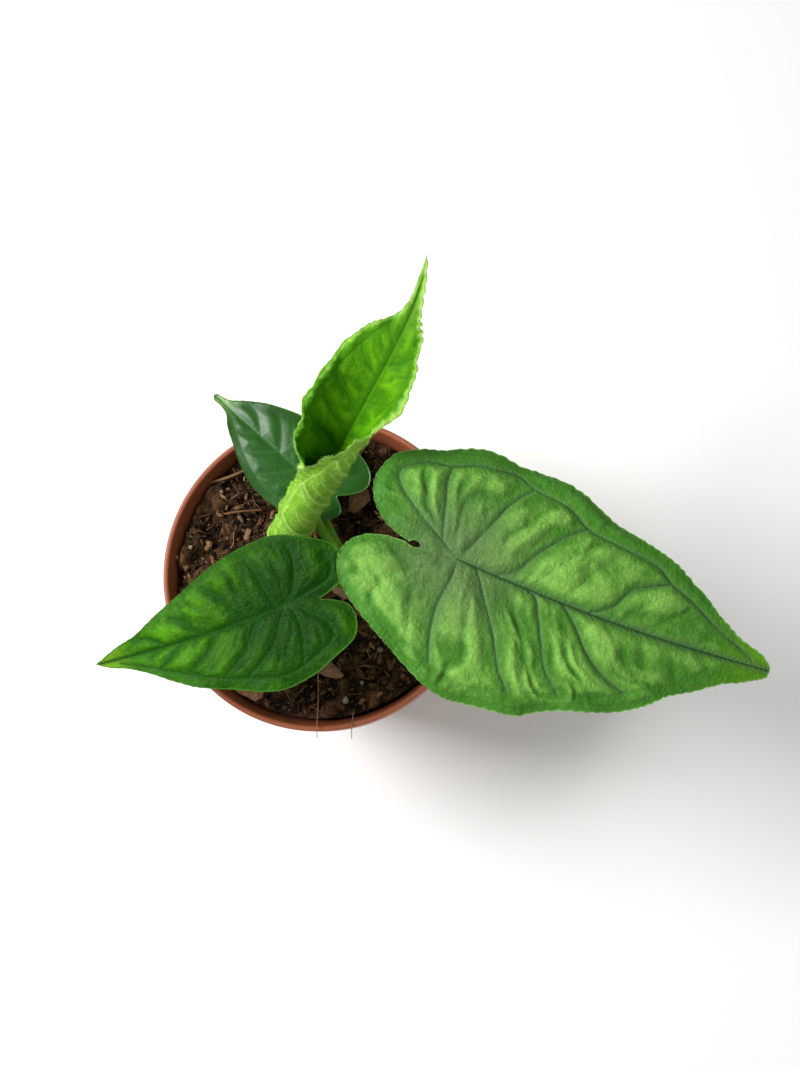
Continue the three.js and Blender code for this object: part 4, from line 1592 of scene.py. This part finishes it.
LEAF_LARGE = LeafForm(
    name="leaf_large",
    place=(41.1, -3.7, 120), heading=-16.6, pitch=-8.5, roll=-6,
    bend=0.0034, back_bend=0.004, fold=8, curl_left=((0, -0.018),), curl_right=((0, -0.011),),
    bow=-2.6, waves=(6, 8), wave=0.9,
    left=(
        (-9.8, 0.5), (-10.4, 1.3), (-11.6, 1.5), (-12.8, 0.9), (-14.5, 1.3), (-19.4, 3.4),
        (-24, 8), (-25.8, 14), (-23.2, 21.2), (-16.9, 25.5),
        (-8.6, 29), (0.4, 31), (8.7, 31.4), (17, 32.2), (25.3, 30.6), (34, 27.4), (44.5, 23.5),
        (52.5, 21.2), (58.5, 18.4), (65, 14.4), (70, 10.2), (76.6, 6.6), (84, 3.6), (88, 1.2),
    ),
    right=(
        (-9.8, 0.2), (-10.6, -0.2), (-12, -0.2), (-13.2, 0.3), (-14.5, 0.6), (-19.5, 0.4),
        (-24.7, -1.3), (-28.2, -5.2), (-28.3, -10),
        (-25.6, -15.1), (-18.6, -20.8), (-11, -25.6), (-4, -29.8), (2, -32.7), (8, -33.4),
        (16, -32.4), (24.5, -31), (29, -28.6), (35, -25.8), (42, -23.8), (49.5, -21.4),
        (55.1, -18.2), (61, -14), (68, -10.6), (74.4, -7.2), (83, -3.9), (87.6, -1.6), (88, 1.2),
    ),
    laterals_left=(
        ((-0.5, 0.2), (-5, 3.5), (-11, 7.5), (-17, 12.2), (-20, 16), (-20, 18.5)),
        ((-5, 3.8), (-6, 9), (-7, 14), (-8, 19), (-7.6, 23.6)),
        ((0.5, 0.5), (3.5, 7), (6, 12.2), (8.5, 18), (11.5, 22.5), (14.5, 26)),
        ((11, 0.4), (15, 3), (17.5, 7), (20.7, 11.6), (26, 17.6), (30.2, 21.2)),
        ((36, 0.4), (41, 3.5), (44.5, 9), (48, 11.4), (55, 14.7)),
    ),
    laterals_right=(
        ((0, -0.6), (-0.2, -5.8), (-1.4, -11.4), (-1.5, -17.1), (-1, -21.1), (0.4, -26.6)),
        ((5.5, -0.4), (7.3, -3.6), (10, -8.2), (13, -13), (15.2, -17.4), (17.5, -22), (20.7, -25.7)),
        ((19.5, -0.4), (21.6, -1.5), (23.8, -6.8), (26.1, -12.5), (28.6, -17.6), (33, -21.8)),
        ((29, -0.4), (33, -4.4), (36.7, -9.1), (40.4, -12.3), (44.3, -14.5), (49.4, -16.4)),
    ),
    minors=(
        ((28, 0.4), (31, 5.5), (34, 10), (37.5, 14.5), (41.5, 19.2)),
        ((50, 0.4), (57, 6), (62.4, 10.8)), ((63, 0.4), (68, 3.6), (72, 6)),
        ((-0.6, -0.2), (-8, -0.8), (-14.3, -2.1), (-20, -5.3), (-26, -8)),
        ((-1, -1.4), (-9, -4.8), (-12.7, -7.5), (-15.8, -10.8), (-18.4, -14.5)),
        ((48.5, -0.4), (51.3, -5), (53.1, -9.4), (55.8, -13)), ((66, -0.4), (69, -3.5), (71, -5.8)),
        ((5.2, 11), (3, 16), (0.7, 24.6)), ((4, 3), (10, 9.5), (16, 18), (21, 24)),
        ((-8, 6), (-11, 12), (-13, 18)), ((20, 2), (27, 11), (34, 18.5)),
        ((44, 1), (50, 8), (57, 13)), ((-8, -5), (-9, -12), (-7, -20)),
        ((4, -2), (6.2, -13), (7.8, -20), (11.6, -27)),
        ((13, -0.5), (16.5, -7.4), (19.7, -12), (26, -22)),
        ((26, -1), (31, -6), (32, -10.8), (34.5, -14.4), (38, -19)),
        ((40, -0.5), (43.2, -5), (45.2, -7.4), (52, -12)), ((56, -0.5), (60.5, -5.8), (62, -9)),
    ),
    rims=(
        ((-20, 18.5), (-18, 20.5), (-13.3, 23), (-7.7, 23.6), (-1.5, 25.9), (3.2, 26.7), (9.4, 28.2),
         (14.5, 26), (24.7, 24.3), (30.2, 21.2), (40.3, 19.3), (50.2, 18), (54.8, 14.9), (61.4, 11.7),
         (67.3, 8.2), (74.3, 5), (81.6, 1.8)),
        ((-18.4, -14.5), (-16.7, -18.6), (-10.2, -21.7), (-3.6, -25.1), (2.8, -27.9), (9.7, -28.7),
         (15, -27.5), (21, -25.6), (27.3, -24), (34, -21.7), (41.4, -20), (48, -17), (53.7, -14),
         (61, -10.8), (66.7, -8), (73.4, -4.6), (78, -2)),
    ),
    stem=((12.7, -0.6), (15.2, -0.8, 84), (23, -1.8, 101), (33, -2.9, 113.5)), stem_radius=(1.6, 1.35),
    quilt=0.8, streak=0.85, groove=0.4, scallop=0.3, crepe=0.1, grain=0.6, seed=3,
)

LEAF_LOW = LeafForm(
    name="leaf_low",
    place=(-4.3, -12.3, 98), heading=-164.5, pitch=-6, roll=0,
    bend=0.0045, back_bend=0.006, fold=9, curl_left=((0, -0.016),), curl_right=((0, -0.016),),
    bow=1.3, waves=(5, 4), wave=0.5,
    left=(
        (-8.7, 1.3), (-11.5, 2.1), (-15.5, 4.6), (-16.5, 9), (-14.5, 13.6), (-8, 17.2),
        (-1.3, 20.2), (5.7, 21.2), (12, 20), (20.5, 16.8), (30.4, 13.2), (37, 9.8), (43, 6.2),
        (50, 3.2), (55.5, 1.8), (59.9, -0.1),
    ),
    right=(
        (-8.7, 0.7), (-11.8, -0.6), (-15.4, -2.6), (-17.2, -6.5), (-16, -11), (-12.5, -14.3),
        (-5, -17.6), (1.5, -19.4), (8, -19.4), (15, -18), (22, -15.6), (30, -12.4), (37.4, -9),
        (45, -5.2), (52, -3.2), (59.9, -0.1),
    ),
    laterals_left=(
        ((-0.5, 0.3), (-5, 4), (-9, 7.5), (-10, 11.5)),
        ((-0.2, 0.6), (-1.6, 5.3), (-1.5, 10.3), (-0.7, 14.5), (0.6, 17)),
        ((1, 0.4), (3.1, 3.1), (6.3, 8.8), (11.4, 12.7), (15.5, 15)),
        ((9, 0.4), (12.6, 5.5), (15.2, 9), (21.3, 12.6)),
        ((21, 0.4), (26, 5.8), (31.6, 9)),
        ((32, 0.4), (36, 3.8), (40, 6)),
    ),
    laterals_right=(
        ((-0.5, -0.3), (-4.8, -1.4), (-11, -3.4), (-13.5, -6.5), (-12.5, -10)),
        ((-0.2, -0.5), (-3, -6), (-4, -12), (-3, -15.4)),
        ((3.5, -0.4), (5.8, -6.9), (7, -11.3), (9.2, -15.6)),
        ((14.5, -0.4), (16, -3.6), (17.6, -7.6), (22, -11.4)),
        ((26, -0.4), (30, -5), (34, -7.2)),
        ((37, -0.3), (41, -3), (44, -3.8)),
    ),
    minors=(
        ((-1, 3), (2, 9), (5, 15.5)), ((5, 1), (9.5, 7), (14, 12)), ((16, 1), (20, 6), (26, 10.5)),
        ((27, 1), (31, 5), (35, 7.4)), ((0, -2), (1.5, -9), (3, -15.5)), ((9, -1), (12, -6), (16, -12)),
        ((20, -1), (24, -5.5), (28, -9.3)),
    ),
    rims=(
        ((-10, 11.5), (-7.6, 13.3), (-0.7, 16.6), (5.7, 17.6), (14.2, 15.8), (25, 12), (33.8, 8.4),
         (42.4, 4.6), (52, 1.2)),
        ((-12.5, -10), (-9.5, -12.4), (-4.3, -14.9), (2.2, -16.5), (8.9, -15.9), (15.5, -13.8),
         (22.9, -11), (29, -8.9), (39.6, -4.9), (50.3, -1.4)),
    ),
    stem=((6.3, -2.6), (4.6, -4.6, 82), (0.6, -8.4, 91)), stem_radius=(1.6, 1.2),
    quilt=0.4, streak=0.58, groove=0.26, scallop=0.12, crepe=0.1, grain=0.54, seed=8,
)

LEAF_BACK = LeafForm(
    name="leaf_back",
    place=(-1.9, 24.2, 80), heading=138.2, pitch=8, roll=0,
    bend=0.006, back_bend=0.008, fold=8, curl_left=((0, -0.02),), curl_right=((0, -0.02),),
    waves=(4, 3), wave=0.3,
    left=(
        (-7.9, -1.8), (-9.4, -1.2), (-11.2, 0), (-11.7, 2.2), (-9.8, 5.2), (-6.5, 8.2), (-2, 10.6),
        (3, 12), (8, 12.4), (13, 11.8), (19, 9.6), (24, 6.9), (28.5, 4.4), (31.6, 1.9), (34.5, 1.1),
        (37.4, 1), (38.4, 0),
    ),
    right=(
        (-7.9, -2.4), (-9.5, -4), (-11.7, -7.2), (-12.3, -10), (-10.7, -12.8), (-7.2, -14.6),
        (-2, -15.2), (4, -14.8), (10, -13.8), (17, -11.6), (24.3, -8.3), (29.8, -4.8), (33.2, -2.1),
        (35.6, -1.2), (37.6, -0.9), (38.4, 0),
    ),
    laterals_left=(
        ((-0.4, 0.2), (-4, 2.2), (-7, 4), (-8, 5.5)),
        ((0, 0.3), (1.5, 4.5), (4, 9.8)),
        ((6, 0.3), (9, 4.5), (13.5, 9.2)),
        ((13.5, 0.3), (17, 4), (21, 6.8)),
        ((21, 0.3), (24.5, 3), (27, 4.2)),
    ),
    laterals_right=(
        ((-0.4, -0.2), (-4, -4.5), (-7.5, -9), (-8, -11.4)),
        ((0, -0.3), (0.5, -6), (2, -12.4)),
        ((5.5, -0.3), (8, -5.5), (12, -10.8)),
        ((12.5, -0.3), (16, -4.8), (20, -8.2)),
        ((20, -0.3), (24, -3.6), (27.5, -4.8)),
    ),
    minors=(
        ((3, 0.5), (6, 5), (9, 9.8)), ((10, 0.5), (13, 4), (17, 7.6)),
        ((2.8, -0.5), (5, -6), (7, -11.8)), ((9, -0.5), (12, -5), (16, -9.4)),
    ),
    rims=(
        ((-8, 5.5), (-3, 8.6), (4, 9.8), (10, 9.8), (17, 8), (24, 4.8), (30, 1.6)),
        ((-8, -11.4), (-3, -12.6), (4, -12.2), (12, -10.8), (20, -8.2), (27.5, -4.8), (32, -1.8)),
    ),
    stem=((6.9, 3.2), (6.4, 4.4, 73), (4.6, 8, 74.2), (2.2, 13, 74.6), (-0.6, 19, 76)),
    stem_radius=(1.5, 1.1),
    quilt=0.55, streak=0.14, groove=0.06, scallop=0.05, crepe=0.02, grain=0.5, seed=15,
)

LEAF_NEW = LeafForm(
    name="leaf_new",
    place=(-1.4, 16.7, 88), heading=46.9, pitch=50.6, roll=6,
    bend=0.0003, back_bend=0, fold=0,
    curl_left=((-5, 0.215), (12, 0.205), (20, 0.18), (28, 0.118), (45, 0.085), (65, 0.002), (91, 0.06)),
    curl_right=((-5, 0.19), (12, 0.18), (28, 0.16), (45, 0.138), (65, 0.056), (91, 0.083)),
    hook=3.9, thick=0.7, waves=(15, 15), wave=0.5,
    left=(
        (-8, 0.6), (-12, 1.6), (-17, 4.4), (-19.6, 8.4), (-17, 12.4), (-6, 15.6), (0, 16.8),
        (10, 18.4), (20, 18.8), (30, 18), (42, 15.5), (54, 12.1), (62, 9.4), (67, 6.6), (71.5, 3.2),
        (76, 1.8), (80, 1.2), (85, 0.9), (91, 0),
    ),
    right=(
        (-8, -0.6), (-12, -1.6), (-17, -4.4), (-20, -9), (-18, -15), (-8, -20), (0, -21.8),
        (10, -22.6), (20, -21.6), (30, -19.4), (42, -16.4), (54, -12.4), (66, -7.6), (74, -4.2),
        (80, -2.2), (85, -1.3), (91, 0),
    ),
    laterals_left=(
        ((-0.4, 0.3), (-6, 4), (-11, 7.5), (-12, 10.5)),
        ((0, 0.4), (1, 5), (3, 10), (7, 15)),
        ((10, 0.3), (13, 5), (17, 10.5), (22, 15.2)),
        ((24, 0.3), (27, 5), (31, 10), (36, 13.8)),
        ((39, 0.3), (41.6, 4.2), (45.7, 8.5), (49, 10.8)),
        ((52, 0.3), (54.7, 4.6), (58, 7.6)),
        ((64, 0.3), (67, 3.2), (70, 4.2)),
    ),
    laterals_right=(
        ((-0.4, -0.3), (-6, -5), (-10, -10), (-10, -15), (-5, -18)),
        ((0, -0.4), (-2, -6), (-2, -12), (2, -18.6)),
        ((6, -0.3), (9, -6), (13, -13), (18, -19)),
        ((18, -0.3), (21, -5.5), (26, -12), (32, -16)),
        ((30, -0.3), (34, -6), (40, -11.6), (45, -13)),
        ((43, -0.3), (47, -5), (52, -9), (56, -9.6)),
        ((57, -0.3), (61, -4), (65, -6)),
    ),
    minors=(
        ((-3, -4), (-6, -8.5), (-6.4, -13), (-2.5, -16.6)),
        ((-2, -5), (-4, -9), (-3.6, -12.6), (0, -15.6)),
        ((1, -4), (0.4, -9), (2, -13), (6, -16.5)), ((3, -2), (3, -9), (7, -17)),
        ((6, -3.5), (7, -9), (10.5, -14.5), (15, -18.5)), ((9.5, -2), (13, -9), (19, -16.8)),
        ((12, -2), (16, -9), (22, -16)), ((15.5, -1.5), (19.5, -8), (26, -15.4)),
        ((21, -1.5), (25.6, -8), (33, -14.4)), ((24, -2), (29, -8.5), (36, -13.6)),
        ((33, -1), (38, -7), (44.5, -11.6)), ((46, -1), (50, -5.4), (54.5, -8.6)),
        ((36, -1), (41, -6.5), (48, -10.4)), ((5, 1), (8, 7), (13, 14)), ((17, 1), (21, 7), (28, 13.6)),
        ((31, 1), (35, 6.5), (41, 11)), ((45, 1), (49, 5.5), (53, 8)),
    ),
    rims=(
        ((-12, 10.5), (-7, 13.4), (0, 14.6), (10, 16), (20, 16.2), (30, 15.2), (42, 12.8), (54, 9.4),
         (66, 5.2), (76, 2)),
        ((-5, -18), (2, -19), (10, -19.8), (20, -18.8), (30, -16.6), (42, -13.6), (54, -9.8),
         (66, -5.4), (76, -2)),
    ),
    stem=((9, 0), (7.4, 2.4, 75.8), (3.2, 8, 79.5), (0, 13.2, 82.4), (-0.2, 16.2, 85)),
    stem_radius=(1.6, 1.4),
    quilt=0.3, streak=0.34, groove=0.2, scallop=0.8, scallop_pitch=2.7, scallop_fade=(34, 50),
    crepe=0.08, bead=0.6, lip=2.1, lip_from=(12, 28), grain=0.5, seed=21,
)

LEAF_FINISHES = {
    "leaf_large": LeafFinish(
        "leaf_large", (0.45, 0.62), 0.1, specular=0.12,
        crest=(0.225, 0.485, 0.078), valley=(0.06, 0.22, 0.02), vein=(0.022, 0.07, 0.02),
        halo=(0.09, 0.19, 0.062), margin=(0.22, 0.46, 0.1), tip=(0.12, 0.34, 0.008),
        heart=(0.12, 0.2, 0.07), underside=(0.26, 0.42, 0.15), underside_vein=(0.38, 0.55, 0.22),
        # The large leaf's drooping margin strip carries painted shade.
        vein_width=0.3, halo_width=1.5, margin_width=0.4, minor=0.5, mottle=0.8, margin_shade=0.7,
    ),
    "leaf_low": LeafFinish(
        "leaf_low", (0.44, 0.58), 0.1, specular=0.07,
        crest=(0.09, 0.315, 0.006), valley=(0.014, 0.1, 0.001), vein=(0.004, 0.035, 0.001),
        halo=(0.016, 0.085, 0.004), margin=(0.06, 0.2, 0.012), tip=(0.14, 0.31, 0.008),
        heart=(0.002, 0.026, 0.001), underside=(0.22, 0.4, 0.12), underside_vein=(0.35, 0.52, 0.2),
        vein_width=0.2, halo_width=0.8, margin_width=0.4, minor=0.35, mottle=0.8, heart_reach=46,
    ),
    "leaf_back": LeafFinish(
        "leaf_back", (0.4, 0.5), 0.03, coat=0.28, coat_roughness=0.27, specular=0.25,
        crest=(0.026, 0.13, 0.01), valley=(0.012, 0.075, 0.004), vein=(0.01, 0.06, 0.004),
        halo=(0.035, 0.14, 0.018), margin=(0.06, 0.19, 0.03), tip=(0.2, 0.4, 0.06),
        heart=(0.02, 0.11, 0.01), underside=(0.2, 0.36, 0.14), underside_vein=(0.3, 0.48, 0.2),
        vein_width=0.1, halo_width=0.8, margin_width=0.35, minor=0.1, mottle=0.7,
    ),
    "leaf_new": LeafFinish(
        "leaf_new", (0.4, 0.55), 0.05, specular=0.12, subsurface=0.6,
        crest=(0.14, 0.41, 0.004), valley=(0.052, 0.22, 0.002), vein=(0.025, 0.12, 0.001),
        halo=(0.06, 0.23, 0.003), margin=(0.36, 0.62, 0.1), tip=(0.3, 0.52, 0.07),
        heart=(0.09, 0.3, 0.003), underside=(0.22, 0.47, 0.028), underside_vein=(0.46, 0.68, 0.16),
        vein_width=0.22, halo_width=1.0, margin_width=1.2, minor=0.45, mottle=1.0,
    ),
}

POT_FINISH = GrainFinish(
    "terracotta_plastic", (0.36, 0.55), 0.04, specular=0.35,
    body=(0.31, 0.082, 0.035), cloud=(0.345, 0.1, 0.045), speck=(0.42, 0.16, 0.085),
    cloud_size=14, speck_size=0.7, specks=0.3,
)
PETIOLE_FINISH = GrainFinish(
    "petiole_skin", (0.35, 0.5), 0.04, specular=0.3,
    body=(0.13, 0.33, 0.015), cloud=(0.2, 0.42, 0.04), speck=(0.3, 0.5, 0.12),
    cloud_size=5, speck_size=0.5, specks=0.4,
)
CORM_FINISH = GrainFinish(
    "corm_skin", (0.7, 0.9), 0.15,
    body=(0.16, 0.09, 0.045), cloud=(0.3, 0.2, 0.1), speck=(0.06, 0.035, 0.02),
    cloud_size=3, speck_size=0.4, specks=0.6,
)
BARK_FINISH = GrainFinish(
    "bark", (0.7, 0.9), 0.2,
    body=(0.24, 0.115, 0.055), cloud=(0.38, 0.21, 0.11), speck=(0.08, 0.04, 0.02),
    cloud_size=2.5, speck_size=0.5, specks=0.7,
)
PERLITE_FINISH = GrainFinish(
    "perlite", (0.7, 0.9), 0.15, specular=0.2,
    body=(0.36, 0.31, 0.2), cloud=(0.26, 0.21, 0.13), speck=(0.12, 0.085, 0.05),
    cloud_size=1, speck_size=0.35, specks=0.5,
)
HAIR_FINISH = GrainFinish(
    "hair", (0.5, 0.6), 0.0, specular=0.2,
    body=(0.36, 0.56, 0.16), cloud=(0.45, 0.64, 0.25), speck=(0.5, 0.66, 0.3),
)
PEAT_FINISH = PeatFinish(
    "peat", (0.8, 0.95), 0.25, specular=0.1,
    tones=(
        (0.0, (0.01, 0.006, 0.004)), (0.28, (0.046, 0.024, 0.012)), (0.5, (0.125, 0.06, 0.029)),
        (0.78, (0.25, 0.135, 0.068)), (1.0, (0.4, 0.24, 0.125)),
    ),
)

CHIPS = (
    BarkChip("bark_chip_rim", -20.2, -33, 9.5, 5.4, 2, -32, 0),
    BarkChip("bark_chip_front", 1.6, -27, 10, 4.6, 1.8, -20, 1),
    BarkChip("bark_chip_back", 10, 22, 9, 6, 2, 65, 2),
)
STRANDS = (
    Strand(((-0.7, -23.4, 69.8), (0.2, -34, 71.8), (0.5, -44, 75.1), (0.7, -46.8, 75.4)), 0.2, 0.9),
    Strand(((10.2, -38.5, 70.8), (10.2, -43.9, 74.9), (10.3, -46.8, 75.2)), 0.17, 0.8),
    Strand(((-33.5, 26.6, 69.4), (-29, 27.6, 70), (-24, 29.5, 70.4), (-20, 32, 70)), 0.5, 0.75),
    Strand(((-24, 36.5, 69.2), (-23.6, 33, 70.2), (-22.6, 30.5, 70.6)), 0.42, 0.8),
    Strand(((-28, 17.4, 69.4), (-23, 18, 70.1), (-17.5, 18.3, 69.8)), 0.42, 0.6),
    Strand(((-32, 5, 69.3), (-31, 0, 70.2), (-33, -4, 69.6)), 0.3, 0.65),
)
HAIRS = {
    "leaf_large": Hairs(2600, 0.45, 31),
    "leaf_low": Hairs(1800, 0.45, 32),
    "leaf_new": Hairs(7000, 0.6, 33, margin_share=0.15),
}


class Plant:
    """The whole part: the pot with its soil, and the plant that grows in it."""

    def __init__(self) -> None:
        """Settle the parts that others are placed by."""
        self.pot = Pot()
        self.crown = Crown()
        self.soil = Soil(self.pot, self.crown, CHIPS, STRANDS)
        self.grain = worn_grain()
        self.tissue = Tissue().build()

    def holder(self) -> None:
        """Build the pot."""
        finish = POT_FINISH.material(self.grain)
        self.pot.drilled(self.pot.build().piece("nursery_pot", finish, "pot", ("pot",)))

    def bed(self) -> None:
        """Build the soil with what lies on it."""
        peat = PEAT_FINISH.material()
        self.soil.build().piece("peat_bed", peat, "soil", ("soil",))
        self.soil.loose().piece("peat_crumbs", peat, "soil", soft=False)
        self.soil.tangle().piece("coir_fibres", peat, "soil")
        perlite = PERLITE_FINISH.material(self.grain)
        self.soil.perlite().piece("perlite_grains", perlite, "soil", soft=False)
        bark = BARK_FINISH.material(self.grain)
        for chip in CHIPS:
            chip.build(self.soil.level + GAP).piece(chip.name + "_split", bark, "bark", (chip.name,))

    def growth(self) -> None:
        """Build the rootstock, then each leaf on its stalk."""
        skin = CORM_FINISH.material(self.grain)
        self.crown.build().piece("corm_and_roots", skin, "rootstock", ("rootstock",))
        stalk = PETIOLE_FINISH.material(self.grain)
        fuzz = HAIR_FINISH.material(self.grain)
        for form in (LEAF_LARGE, LEAF_LOW, LEAF_BACK, LEAF_NEW):
            blade = Blade(form)
            shape = blade.build()
            finish = LEAF_FINISHES[form.name].material(self.tissue)
            shape.piece(form.name + "_quilted", finish, form.name, (form.name + "_blade",))
            stem = Petiole(form, blade, self.crown).build()
            stem.piece(form.name + "_stalk", stalk, "petiole", (form.name + "_petiole",))
            if form.name in HAIRS:
                HAIRS[form.name].build(shape).piece(form.name + "_hairs", fuzz, form.name)


def main() -> None:
    """Build the plant and its stage."""
    logging.basicConfig(level=logging.INFO, format="%(message)s")
    plant = Plant()
    plant.holder()
    plant.bed()
    plant.growth()
    Studio().build()


if __name__ == "__main__":
    main()
